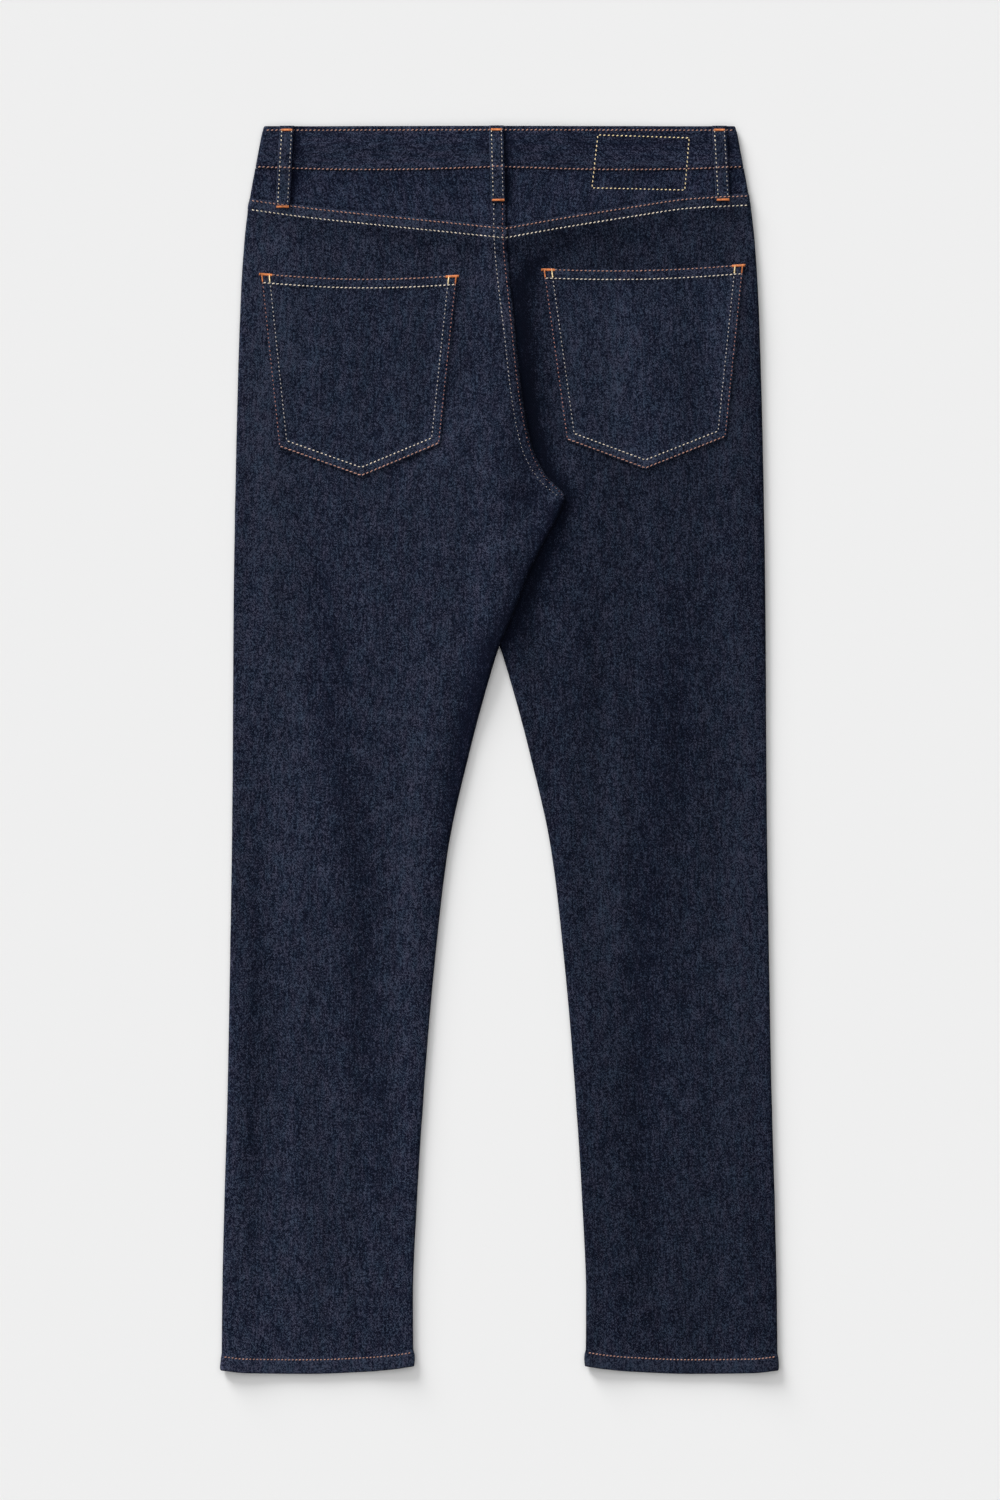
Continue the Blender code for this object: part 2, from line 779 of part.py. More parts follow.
def pocket_facing(side, look):
    """The cloth behind the front pocket's opening, out to the outseam."""

    def section(share):
        def row(across):
            top = front_seam(across) + GAP
            return top + (SCOOP_END - 0.0015 - top) * share

        return row

    def inner(below):
        return read(SCOOP, below) - SCOOP_LAP

    def under(x, below):
        return floor_lift(x, below) + LAYER + GAP

    def outseam(x, below, flat):
        return SEAM_HEIGHT - 0.0006

    return curled_wall(
        f"pocket_facing_{SIDE_NAMES[side]}", side,
        [section(s) for s in (0.0, 0.2, 0.4, 0.6, 0.8, 1.0)], (outer_edge, inner), under,
        (outseam, lambda x, below, flat: flat + LEAST_CURL), -1, (5, 1, 1), look,
    )


def fly_zip(fronts, look):
    """Tape, closed chain and slider as one plain strip behind the fly."""
    top = top_of(fronts)
    outer, inner = [], []
    for below in (0.052, 0.066, 0.080, 0.091, 0.102, 0.113, 0.125, 0.150, FLY_END):
        places = [ZIP_CENTRE - ZIP_HALF_WIDTH, ZIP_CENTRE + ZIP_HALF_WIDTH]
        low = max(top(x, below) for x in places) + GAP
        outer.append([(x, WAIST_Y - below, low) for x in places])
        inner.append([(x, WAIST_Y - below, low + ZIP_TAPE) for x in places])
    return add_wall("fly_zip", np.array(outer), np.array(inner), look)


def waist_button(look):
    """The button's head, under the waistband's outer front end."""
    below = front_dip(0.0) + WAISTBAND / 2
    profile = ((BUTTON_RADIUS, STRAP), (BUTTON_RADIUS, 0.0007), (0.0075, 0.0002), (0.0064, 0.0))
    sides = 24
    points, faces = [], []
    for radius, height in profile:
        for k in range(sides):
            turn = 2 * math.pi * k / sides
            y = WAIST_Y - below + radius * math.sin(turn)
            points.append((radius * math.cos(turn), float(y), height))
    for ring in range(len(profile) - 1):
        for k in range(sides):
            a, b = ring * sides + k, ring * sides + (k + 1) % sides
            faces.append((a, b, b + sides, a + sides))
    faces.append(tuple(range(sides - 1, -1, -1)))
    last = (len(profile) - 1) * sides
    faces.append(tuple(range(last, last + sides)))
    return add_object("waist_button", np.array(points), faces, look)


def main():
    for old in list(bpy.data.objects):
        bpy.data.objects.remove(old)
    denim = material("denim", INDIGO, 0.85, 0.0)
    metal = material("button_metal", METAL, 0.35, 1.0)
    tape = material("zip_tape", TAPE, 0.8, 0.0)
    yokes, backs, fronts = {}, {}, {}
    for side in (LEFT, RIGHT):
        backs[side] = back_panel(side, denim)
        fronts[side] = front_panel(side, denim)
        yokes[side] = yoke(side, denim)
        back_pocket(side, backs[side], denim)
        pocket_facing(side, denim)
        front_loop(side, denim)
    band = waistband(denim)
    bpy.context.view_layer.update()
    for name, head_x, foot_x, foot in BACK_LOOPS:
        back_loop(name, head_x, foot_x, foot, [band, *yokes.values(), *backs.values()], denim)
    fly_zip(fronts.values(), tape)
    waist_button(metal)


main()
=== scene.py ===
"""Slim jeans laid flat with the back up: the dressed model, its floor, light and camera.

Each cloth piece is a fine shell on the form of its solid, worked out from the same sizes, with its
creases, seam ridges and puckers. Every stitch is a short piece of thread. A point is placed by x
and by "below", which is its distance below the waistband's top edge. Lengths are in metres.
"""

import math
from functools import partial

import bpy
import numpy as np
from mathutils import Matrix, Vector
from mathutils.bvhtree import BVHTree


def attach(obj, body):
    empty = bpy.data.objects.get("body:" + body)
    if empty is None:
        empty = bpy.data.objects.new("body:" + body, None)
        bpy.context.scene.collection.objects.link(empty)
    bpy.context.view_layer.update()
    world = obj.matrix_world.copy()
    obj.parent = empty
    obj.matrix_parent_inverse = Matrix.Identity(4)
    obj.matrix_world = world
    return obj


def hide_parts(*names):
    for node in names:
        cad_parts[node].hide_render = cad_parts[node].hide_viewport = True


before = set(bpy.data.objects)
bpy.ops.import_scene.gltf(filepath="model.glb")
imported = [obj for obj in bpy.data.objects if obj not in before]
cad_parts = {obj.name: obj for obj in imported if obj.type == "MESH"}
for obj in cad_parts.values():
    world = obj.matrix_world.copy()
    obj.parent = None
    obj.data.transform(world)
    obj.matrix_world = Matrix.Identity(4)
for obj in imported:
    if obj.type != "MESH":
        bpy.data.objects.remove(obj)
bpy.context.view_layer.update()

# Driving sizes
OUTSEAM = 1.0660
CLOTH = 0.0012
BAND = 0.0022
STRAP = 0.0018
GAP = 0.0003
LAYER = CLOTH + GAP
WAISTBAND = 0.0357
WAIST_SAG = 0.0025
FRONT_DIP = 0.0120
SEAM_LAP = 0.0090
HEM = 0.0130
HEM_EXTRA = 0.0010
LOOP_WIDTH = 0.0126
LOOP_OVER_EDGE = 0.0010
LOOP_ARCH = 0.0012

LEFT, RIGHT = -1, 1
SIDE_NAMES = {LEFT: "left", RIGHT: "right"}
WAIST_Y = (OUTSEAM - LOOP_OVER_EDGE) / 2

# Half width of the laid garment: below the waist, centre line to side edge
OUTER_EDGE = (
    (0.0000, 0.2014),
    (0.0070, 0.2032),
    (0.0350, 0.2086),
    (0.0750, 0.2155),
    (0.1000, 0.2182),
    (0.1480, 0.2212),
    (0.2330, 0.2240),
    (0.3100, 0.2257),
    (0.4040, 0.2272),
    (0.5750, 0.2283),
    (0.7460, 0.2309),
    (0.8320, 0.2326),
    (0.9170, 0.2351),
    (1.0030, 0.2370),
    (1.0660, 0.2376),
)
# Seat seam, crotch corner and inner leg: below the waist, distance from the centre line towards
# the leg's own side, so a negative one has crossed to the other side
INNER_EDGE = (
    (0.0300, -0.0052),
    (0.0860, -0.0056),
    (0.1530, -0.0112),
    (0.2150, -0.0173),
    (0.2510, -0.0227),
    (0.2780, -0.0295),
    (0.2990, -0.0400),
    (0.3080, -0.0490),
    (0.3130, -0.0540),
    (0.3183, -0.0556),
    (0.3260, -0.0533),
    (0.3530, -0.0392),
    (0.3800, -0.0258),
    (0.4160, -0.0122),
    (0.4446, 0.0002),
    (0.4728, 0.0090),
    (0.5330, 0.0252),
    (0.6180, 0.0440),
    (0.7040, 0.0543),
    (0.7890, 0.0620),
    (0.9170, 0.0705),
    (1.0030, 0.0740),
    (1.0660, 0.0735),
)
# The right half's hidden inner edge, down to the crotch corner, where it takes the same line
HIDDEN_EDGE = (
    (0.0300, -0.0056),
    (0.1900, -0.0056),
    (0.2000, 0.0005),
    (0.2400, 0.0005),
    (0.2550, -0.0080),
    (0.2700, -0.0190),
    (0.2850, -0.0330),
    (0.2980, -0.0455),
    (0.3070, -0.0530),
    (0.3130, -0.0552),
    (0.3183, -0.0556),
)
# The left front's edge from the fly to the crotch corner
FRONT_RISE = (
    (0.0300, -0.0060),
    (0.1900, -0.0060),
    (0.2000, 0.0005),
    (0.2400, 0.0005),
    (0.2550, -0.0130),
    (0.2700, -0.0235),
    (0.2850, -0.0290),
    (0.2980, -0.0362),
    (0.3070, -0.0450),
    (0.3130, -0.0510),
    (0.3183, -0.0556),
)
CROTCH = 0.3183
CROSS_START, CROSS_END = 0.2000, 0.2450
LEGS_PART = 0.4446

# Yoke seam: distance from the centre line, below the waist on the left, and on the right
YOKE_SEAM = (
    (0.0000, 0.0854, 0.0866),
    (0.0550, 0.0796, 0.0768),
    (0.1100, 0.0740, 0.0679),
    (0.1650, 0.0679, 0.0600),
    (0.2140, 0.0613, 0.0576),
)
# Hem's lower edge: share of the way from outseam to inseam, height above the lowest point
HEM_EDGE = (
    (0.00, 0.0030),
    (0.13, 0.0007),
    (0.45, 0.0000),
    (0.75, 0.0018),
    (0.90, 0.0041),
    (1.00, 0.0066),
)
# Front pocket opening: below the waist, distance from the centre line
SCOOP = (
    (0.0300, 0.1070),
    (0.0480, 0.1090),
    (0.0680, 0.1190),
    (0.0850, 0.1370),
    (0.0990, 0.1620),
    (0.1090, 0.1890),
    (0.1180, 0.2193),
)
SCOOP_END = 0.1180
SCOOP_LAP = 0.0180

# Back pockets: corners as (x, below the waist), and how far the opening sags
POCKETS = {
    LEFT: {
        "outer_top": (-0.2043, 0.1253),
        "inner_top": (-0.0358, 0.1270),
        "inner_bottom": (-0.0509, 0.2716),
        "point": (-0.1180, 0.2996),
        "outer_bottom": (-0.1888, 0.2742),
        "sag": 0.0037,
    },
    RIGHT: {
        "outer_top": (0.2088, 0.1177),
        "inner_top": (0.0368, 0.1215),
        "inner_bottom": (0.0569, 0.2679),
        "point": (0.1246, 0.2932),
        "outer_bottom": (0.1937, 0.2657),
        "sag": 0.0028,
    },
}
POCKET_HEM = 0.0085
POCKET_TURNED = 0.0006

# Back belt loops: name, x at the top, x at the foot, foot below the waist
BACK_LOOPS = (
    ("belt_loop_centre", -0.0028, -0.0012, 0.0638),
    ("belt_loop_side_left", -0.1817, -0.1852, 0.0693),
    ("belt_loop_side_right", 0.1877, 0.1908, 0.0633),
)
FRONT_LOOP_X = 0.0880
FRONT_LOOP_LENGTH = 0.0640

# Heights of the laid layers above the floor
FLOOR_LIFT = STRAP + GAP
LEG_HOLLOW = 0.0013
SEAT_STACK = 0.0010
FLY_STACK = 0.0018
SEAM_HEIGHT = 0.0030
EDGE_BULGE = 0.0023
WAIST_BULGE = 0.0008
HIDDEN_HEIGHT = 0.0020
TUBE_RISE = 0.0043
CURL_REACH = 0.0030
LEAST_CURL = 0.0002
# How far the left half's turned edge stands up: below the waist, bulge
SEAT_BULGE = (
    (0.0000, 0.0001),
    (0.0860, 0.0002),
    (0.1300, 0.0016),
    (0.1800, 0.0027),
    (0.2600, 0.0026),
    (0.3200, 0.0023),
    (1.0660, 0.0023),
)
# Where the right front climbs over the left one at the fly, and the room kept before a layer
FLY_RAMP = (0.0080, 0.0220)
LIFT_CLEAR = 0.0020
BACK_SOFTNESS = 0.0300
BAND_CURL = 0.0030
LEFT_BAND_END, RIGHT_BAND_END = 0.0250, -0.0350
BAND_RAMP = (0.0280, 0.0500)
POCKET_GAP = 0.00035
# Width and depth of a back pocket, where distances are made from shares of it
POCKET_WIDTH, POCKET_DEPTH = 0.169, 0.150
# Where lifts and bulges of the laid cloth fade: across from the centre line, or below the waist
REST_ACROSS, REST_BELOW = (0.106, 0.158), (0.080, 0.125)
FLY_ACROSS, FLY_BELOW, FLY_FOOT = (0.030, 0.095), (0.195, 0.240), (0.203, 0.215)
SEAT_BELOW = (0.170, 0.250)
OUTER_GROWS = (0.060, 0.200)
# Length of the left half's climb at the waist, and how much longer it is at the crotch
CLIMB, CLIMB_GROWS = 0.012, 0.014
# Levels below the waist: where the hidden inner edge joins its seam, and where the legs come apart
HIDDEN_SEAM = (0.245, 0.275)
LEGS_APART = (0.450, 0.530)
# Distances over which the bulge of the outer edge and of the inner edge falls away
OUTER_FALL, INNER_FALL = (0.007, 0.055), (0.006, 0.050)
# Levels below the waist at which the width is read for the yoke seam and for the hem
YOKE_LEVEL, HEM_LEVEL = 0.07, 1.05

# Steps of each grid: side curl, outer part, ramp, inner part
CURL_STEPS = 5
BACK_STEPS = (60, 14, 40)
FRONT_STEPS = (30, 8, 22)
YOKE_STEPS = (76, 6, 8)
FACING_STEPS = (26, 3, 4)
# Shares of a turned edge at which the pocket's grid has its lines
TURNED_STEPS = np.array([0, 0.04, 0.1, 0.2, 0.35, 0.5, 0.65, 0.8, 0.9, 0.98, 1.05, 1.2])
# Half widths across a belt loop, as shares, and how far its face drops there
LOOP_ACROSS = np.array([-1, -0.94, -0.8, -0.62, -0.5, -0.2, 0.2, 0.5, 0.62, 0.8, 0.94, 1])
LOOP_DROP = np.array([0.0007, 0.0002, 0, 0.0002, 0, -0.0001, -0.0001, 0, 0.0002, 0, 0.0002, 0.0007])

# Fine form
ROW_STEP = 0.0030
WALE_PITCH = 0.00125

# Colours
DENIM_DARK = (0.0022, 0.0036, 0.0100)
DENIM_MIDDLE = (0.0105, 0.0142, 0.0285)
DENIM_LIGHT = (0.0400, 0.0490, 0.0760)
THREAD_COLOURS = {
    "rust": (0.42, 0.215, 0.158),
    "cream": (0.76, 0.66, 0.52),
    "mustard": (0.95, 0.75, 0.42),
    "orange": (0.62, 0.185, 0.045),
    # The last two are darker copies of the rust and the cream thread, painted shade for rows that lie in
    # shade
    "shaded_rust": (0.34, 0.155, 0.130),
    "shaded_cream": (0.47, 0.43, 0.40),
}
FLOOR_ALBEDO = 0.865
# Painted light and shade: change of tone for each metre that the cloth is raised, paler on ridges and darker
# in hollows
RELIEF_LIGHT_AND_SHADE = 220.0

# Light and camera
FLOOR_DROP = 0.0004
FLOOR_REACH = 20.0
# Each soft light: share of the floor's light, then in degrees its turn from -X towards +Y, height and spread
LIGHTS = {
    "key": (0.36, 59.0, 18.3, 27.0),
    "overhead": (0.52, 50.0, 76.0, 100.0),
}
SKY_SHARE = 0.12
CAMERA_X, CAMERA_Y, CAMERA_HEIGHT = 0.0004, -0.0004, 6.0
FRAME_HEIGHT = 1.2825
SENSOR = 36.0

# Stitch rows: distance from the edge that they follow
SEAM_ROWS = (0.0021, 0.0100)
SEAT_ROWS = (0.0030, 0.0105)
POCKET_ROWS = (0.0012, 0.0075)
POCKET_TOP_ROWS = (0.0011, 0.0084)
BAND_ROWS = (0.0035, 0.0010)
LOOP_ROW = 0.0021
LOOP_HEAD = 0.0002
HEM_ROW = 0.0121
SCOOP_ROWS = (0.0020, 0.0082)
FLY_ROWS = (0.0380, 0.0310)
RISE_ROWS = (0.0020, 0.0085)
# How far a row stays from the side edge, and where the yoke rows begin beside the centre line
ROW_END = 0.0018
YOKE_ROW_START = {LEFT: -0.0042, RIGHT: 0.0044}
SEAT_EDGE_X = 0.0056
STITCH_PITCH = 0.0036
HEM_PITCH = 0.0030
STITCH_SHARE, LYING_SHARE = 0.50, 0.66
THREAD, BAR_THREAD, BAR_PITCH = 0.00042, 0.00034, 0.00052
# A row of stitches pulls the cloth in over this width and depth
PULL_WIDTH, PULL_DEPTH = 0.0008, 0.0003
# Distance over which a folded edge is rounded
ROUNDING = 0.0006
# Puckers beside each seam: how far they reach from it, their height, their length
PUCKERS = {
    "yoke seam": (0.0095, 0.00040, 0.0064),
    "hem": (0.0110, 0.00036, 0.0082),
    "seat seam": (0.0095, 0.00034, 0.0068),
    "yoke centre": (0.0095, 0.00020, 0.0068),
    "yoke top": (0.0040, 0.00020, 0.0071),
    "band foot": (0.0030, 0.00022, 0.0066),
    "band top": (0.0030, 0.00010, 0.0055),
    "pocket": (0.0076, 0.00028, 0.0059),
}
# Levels below the waist between which the rows of a leg follow it
BACK_STATIONS, FRONT_STATIONS = (0.1020, 1.0475), (0.0630, 1.0460)
# Corners of the plain stitched box on the right of the back waistband, as (x, below the waist)
STITCHED_BOX = ((0.0840, 0.0078), (0.1620, 0.0101), (0.1583, 0.0545), (0.0790, 0.0529))
# The button's head from its back over the rim to its dished middle: radius, height
BUTTON_PROFILE = (
    (0.0080, 0.00180),
    (0.0085, 0.00150),
    (0.0085, 0.00080),
    (0.0080, 0.00025),
    (0.0072, 0.00002),
    (0.0063, 0.00012),
    (0.0058, 0.00050),
    (0.0050, 0.00075),
    (0.0030, 0.00080),
    (0.0000, 0.00080),
)
BUTTON_SIDES = 64

# Soft folds: start x, start below, end x, end below, half width, height
BACK_FOLDS = (
    (-0.1500, 0.4300, -0.1560, 1.0200, 0.0300, 0.0012),
    (-0.0980, 0.5200, -0.1120, 0.9800, 0.0200, -0.0008),
    (-0.1960, 0.3600, -0.2000, 0.9500, 0.0180, -0.0005),
    (0.1420, 0.4600, 0.1560, 1.0100, 0.0280, 0.0010),
    (0.1000, 0.5600, 0.1120, 0.9900, 0.0180, -0.0007),
    (0.1900, 0.4000, 0.2010, 0.9300, 0.0200, -0.0005),
    (0.0430, 0.3230, -0.0700, 0.3400, 0.0090, 0.0007),
    (0.0360, 0.3420, -0.0450, 0.4050, 0.0080, 0.0006),
    (0.0380, 0.3080, -0.0500, 0.2960, 0.0080, 0.0006),
    (-0.0100, 0.3700, -0.0900, 0.4550, 0.0120, -0.0005),
    (0.0700, 0.3280, 0.1450, 0.3700, 0.0120, 0.0007),
    (0.0650, 0.3500, 0.1100, 0.4300, 0.0110, 0.0006),
    (0.0280, 0.1150, 0.0560, 0.3300, 0.0130, -0.0014),
    (-0.0250, 0.1300, -0.0180, 0.2300, 0.0070, 0.0004),
)
# Paler and darker stretches of the cloth, partly its own streaky colour and partly painted light and shade,
# such as the pale left hip that faces the light and the dark stretches by the seat and folds, in the same
# columns, with the change of tone last
TONES = (
    (-0.1570, 0.3500, -0.1270, 0.6400, 0.0140, -0.20),
    (-0.1290, 0.5400, -0.0985, 0.9500, 0.0140, -0.21),
    (-0.2080, 0.5900, -0.2110, 1.0000, 0.0060, -0.16),
    (-0.0723, 0.4300, -0.0740, 0.7900, 0.0130, 0.11),
    (-0.1840, 0.4000, -0.1820, 0.7400, 0.0170, 0.09),
    (-0.2190, 0.3600, -0.2250, 0.7200, 0.0080, 0.05),
    (0.0700, 0.3800, 0.0760, 0.5700, 0.0190, -0.10),
    (0.1560, 0.3600, 0.1460, 0.5800, 0.0200, -0.14),
    (0.1450, 0.4600, 0.1250, 0.7600, 0.0220, -0.15),
    (0.1220, 0.6400, 0.1230, 1.0300, 0.0140, -0.19),
    (0.2080, 0.3800, 0.2080, 0.9200, 0.0170, 0.13),
    (0.0900, 0.5000, 0.0930, 0.7600, 0.0130, 0.13),
    (0.0880, 0.6200, 0.0950, 0.8800, 0.0080, 0.06),
    (-0.1960, 0.0450, -0.1980, 0.4500, 0.0170, 0.20),
    (-0.0130, 0.1300, -0.0130, 0.2500, 0.0120, -0.07),
    (-0.1630, 0.1450, -0.1620, 0.2700, 0.0130, 0.08),
    (0.1010, 0.1400, 0.1010, 0.2850, 0.0120, 0.21),
    (0.0610, 0.1500, 0.0660, 0.3000, 0.0080, 0.15),
    (0.1600, 0.1650, 0.1640, 0.3000, 0.0100, -0.08),
    (0.2010, 0.0450, 0.2060, 0.3400, 0.0120, 0.17),
    (0.0110, 0.2000, 0.0300, 0.3400, 0.0130, -0.26),
    (0.0400, 0.3150, -0.0060, 0.3220, 0.0070, -0.22),
)
# Painted shade in the crease beside the seat seam and under the left thigh: x, below, half width, depth of
# tone
CREASE_SHADE = (
    (0.0520, 0.1080, 0.0060, 0.00),
    (0.0415, 0.1120, 0.0070, 0.36),
    (0.0261, 0.1206, 0.0090, 0.52),
    (0.0180, 0.1351, 0.0100, 0.62),
    (0.0186, 0.1736, 0.0108, 0.66),
    (0.0212, 0.2043, 0.0108, 0.66),
    (0.0255, 0.2334, 0.0102, 0.66),
    (0.0300, 0.2616, 0.0092, 0.64),
    (0.0425, 0.2958, 0.0072, 0.60),
    (0.0570, 0.3189, 0.0100, 0.56),
    (0.0380, 0.3642, 0.0125, 0.58),
    (0.0105, 0.4266, 0.0135, 0.60),
    (-0.0040, 0.4446, 0.0150, 0.58),
    (-0.0190, 0.4900, 0.0165, 0.54),
    (-0.0330, 0.5500, 0.0150, 0.44),
    (-0.0440, 0.6100, 0.0120, 0.26),
    (-0.0530, 0.6900, 0.0100, 0.00),
)
# Painted light on the raised lap below the yoke seam, and painted shade below that lap
LAP_HIGHLIGHT = {LEFT: 0.13, RIGHT: 0.09}
SHADE_TONE = {LEFT: 0.05, RIGHT: 0.10}

# The denim's noises: grain along the weft and along the warp, detail, shift from the piece's seed
GRAINS = {
    "wander": (0.0060, 0.0090, 1.0, 0.0),
    "speckle": (0.0021, 0.0028, 1.0, 3.1),
    "slub": (0.0016, 0.0180, 1.0, 7.7),
    "blotch": (0.0130, 0.0150, 2.0, 11.3),
    "streak": (0.0260, 0.3600, 1.0, 17.9),
    "hue": (0.0060, 0.0180, 2.0, 23.3),
}
GRAIN_SHARES = {"speckle": 0.24, "slub": 0.30, "blotch": 0.20}
FLECK, FLECK_SHARE = (0.00076, 0.00088), 1.14
WALE_SHARE = 0.13
DENIM_BALANCE = -0.127
# Seed and tint of each cut of denim; the paler left leg and darker right leg are the same denim with painted
# light and painted shade, as the right half gets less light
DENIMS = {
    "leg_left": (0.0, (1.05, 1.04, 1.09)),
    "leg_right": (40.0, (0.80, 0.81, 0.86)),
    "yoke": (80.0, (1.00, 1.02, 1.12)),
    "band": (120.0, (1.08, 1.06, 1.14)),
    "trim": (160.0, (1.00, 1.02, 1.08)),
}
BRASS = (0.42, 0.33, 0.20)
ZIP_CLOTH = (0.010, 0.012, 0.022)


def ease(value, start, end):
    """0 before start, 1 after end, and a smooth rise between them."""
    share = np.clip((np.asarray(value, float) - start) / (end - start), 0, 1)
    return share * share * (3 - 2 * share)


def hump(value, middle, width):
    """1 at the middle, and almost 0 from two widths away."""
    return np.exp(-(((value - middle) / width) ** 2))


def read(table, at, column=1):
    """A smooth curve through a table's rows, without overshoot."""
    knots = np.array([row[0] for row in table])
    values = np.array([row[column] for row in table])
    slopes = np.diff(values) / np.diff(knots)
    tangents = np.empty(len(knots))
    tangents[0], tangents[-1] = slopes[0], slopes[-1]
    before, after = slopes[:-1], slopes[1:]
    even = 2 * before * after / np.where(before + after == 0, 1, before + after)
    tangents[1:-1] = np.where(before * after > 0, even, 0)
    at = np.clip(np.asarray(at, float), knots[0], knots[-1])
    i = np.clip(np.searchsorted(knots, at) - 1, 0, len(knots) - 2)
    step = knots[i + 1] - knots[i]
    t = (at - knots[i]) / step
    start = (1 + 2 * t) * (1 - t) ** 2 * values[i] + t * (1 - t) ** 2 * step * tangents[i]
    end = t * t * (3 - 2 * t) * values[i + 1] + t * t * (t - 1) * step * tangents[i + 1]
    return start + end


def outer_edge(below):
    return read(OUTER_EDGE, below)


def inner_edge(side, below, front=False):
    """The half's inner edge, measured towards its own side."""
    seen = read(INNER_EDGE, below)
    if side == LEFT and not front:
        return seen
    table = FRONT_RISE if side == LEFT else HIDDEN_EDGE
    return np.where(np.asarray(below) < CROTCH, read(table, below), seen)


def yoke_seam(side, across):
    return read(YOKE_SEAM, across, 1 if side == LEFT else 2)


def past_yoke(side, x, below):
    """Distance below the yoke seam."""
    return below - yoke_seam(side, np.clip(side * x, 0, outer_edge(YOKE_LEVEL)))


def past_inner(side, x, below):
    """Distance from the half's inner edge."""
    return side * x - inner_edge(side, below)


def hem_rise(across):
    """Height of the hem's edge above its lowest point."""
    wide, narrow = outer_edge(HEM_LEVEL), inner_edge(RIGHT, HEM_LEVEL)
    return read(HEM_EDGE, np.clip((wide - across) / (wide - narrow), 0, 1))


def above_hem(side, x, below):
    return OUTSEAM - hem_rise(side * x) - below


def waist_seam(across):
    """The waistband's lower edge, which sags a little between the centre and the side."""
    share = np.clip(np.asarray(across) / outer_edge(WAISTBAND), 0, 1)
    return WAISTBAND + WAIST_SAG * np.sin(np.pi * share)


def front_dip(x):
    """How far the front waist lies below the back waist."""
    return FRONT_DIP * (1 - ease(np.abs(x), 0, outer_edge(0)))


def front_seam(x):
    return WAISTBAND + front_dip(x)


# Heights of the laid cloth


def floor_lift(x, below):
    """The front waist rests on its belt loops and its button."""
    return FLOOR_LIFT * (1 - ease(np.abs(x), *REST_ACROSS)) * (1 - ease(below, *REST_BELOW))


def back_floor(x, below):
    """Height of the back cloth's inner face where nothing lifts it further."""
    seat = SEAT_STACK * (1 - ease(below, *SEAT_BELOW))
    fly = FLY_STACK * (1 - ease(np.abs(x), *FLY_ACROSS)) * (1 - ease(below, *FLY_BELOW))
    return floor_lift(x, below) + CLOTH + LEG_HOLLOW + seat + fly


def tube_rise(below, waist_rise):
    """How far the left half's inner part is lifted by the right half under it."""
    climb = ease(below, CROSS_START, CROSS_END)
    fall = 1 - ease(below, LEGS_PART, LEGS_APART[1])
    return (waist_rise + (TUBE_RISE - waist_rise) * climb) * fall


def lift_line(below):
    """x where the right half begins under the left half."""
    below = np.asarray(below, float)
    return np.where(below < CROTCH, read(HIDDEN_EDGE, below), -np.abs(read(INNER_EDGE, below)))


def lift_bends(side, below):
    """Where the inner part climbs over what lies under it: far and near end of the ramp."""
    if side == RIGHT:
        near = np.full_like(np.asarray(below, float), FLY_RAMP[0])
        return near + FLY_RAMP[1] - FLY_RAMP[0], near
    near = LIFT_CLEAR - lift_line(below)
    return near + CLIMB + CLIMB_GROWS * ease(below, CROSS_START, CROSS_END), near


def left_lift(x, below, waist_rise, softer=0.0):
    far, near = lift_bends(LEFT, below)
    far = far + softer * ease(below, CROSS_START - 0.02, CROSS_END)
    return tube_rise(below, waist_rise) * ease(-x, far, near)


def inner_bulge(side, below):
    if side == LEFT:
        return read(SEAT_BULGE, below)
    hidden = 2 * HIDDEN_HEIGHT - 2 * CLOTH - LEG_HOLLOW
    return hidden * ease(below, *HIDDEN_SEAM) + (EDGE_BULGE - hidden) * ease(below, *LEGS_APART)


def outer_bulge(below):
    return WAIST_BULGE + (EDGE_BULGE - WAIST_BULGE) * ease(below, *OUTER_GROWS)


def back_under(side, x, below):
    """Height of the inner face of the back cloth on this side."""
    height = back_floor(x, below)
    height = height + outer_bulge(below) * (1 - ease(outer_edge(below) - side * x, *OUTER_FALL))
    height = height + inner_bulge(side, below) * (1 - ease(past_inner(side, x, below), *INNER_FALL))
    if side == LEFT:
        height = height + left_lift(x, below, LAYER, BACK_SOFTNESS)
    return height


def leg_under(side, x, below):
    """The leg panel lies on the yoke along their seam."""
    on_yoke = 1 - ease(past_yoke(side, x, below), SEAM_LAP + 0.001, SEAM_LAP + 0.018)
    return back_under(side, x, below) + LAYER * on_yoke


def front_under(side, x, below):
    """Height of the outer, lower face of the front cloth on this side."""
    height = floor_lift(x, below)
    if side == LEFT:
        return height + left_lift(x, below, 0.0)
    return height + LAYER * (1 - ease(x, *FLY_RAMP)) * (1 - ease(below, *FLY_FOOT))


def inseam_height(side, below):
    """Height at which the back and front meet along the inner leg."""
    if side == LEFT:
        return SEAM_HEIGHT + tube_rise(below, 0.0)
    return HIDDEN_HEIGHT + (SEAM_HEIGHT - HIDDEN_HEIGHT) * ease(below, *LEGS_APART)


# Folds, seam ridges and puckers


def wave(at, *lengths):
    """A smooth uneven curve between about -1 and 1, made of sines of the given wavelengths."""
    turns = (2 * np.pi * np.asarray(at) / length + 1.7 * i + 0.4 for i, length in enumerate(lengths))
    return sum(np.sin(turn) for turn in turns) / len(lengths)


def folds(table, x, below):
    total = np.zeros(np.broadcast(x, below).shape)
    for x0, below0, x1, below1, half_width, height in table:
        length = math.hypot(x1 - x0, below1 - below0)
        along_x, along_y = (x1 - x0) / length, (below1 - below0) / length
        along = (x - x0) * along_x + (below - below0) * along_y
        off = (below - below0) * along_x - (x - x0) * along_y
        off = off + half_width * 0.35 * wave(along, length * 0.9, length * 0.37)
        fade = ease(along, -0.1 * length, 0.3 * length) * (1 - ease(along, 0.6 * length, 1.1 * length))
        total += height * fade * hump(off, 0, half_width)
    return total


def pull(from_edge, *rows, depth=PULL_DEPTH):
    """How far the cloth is pulled in along rows of stitches."""
    return depth * sum(hump(from_edge, row, PULL_WIDTH) for row in rows)


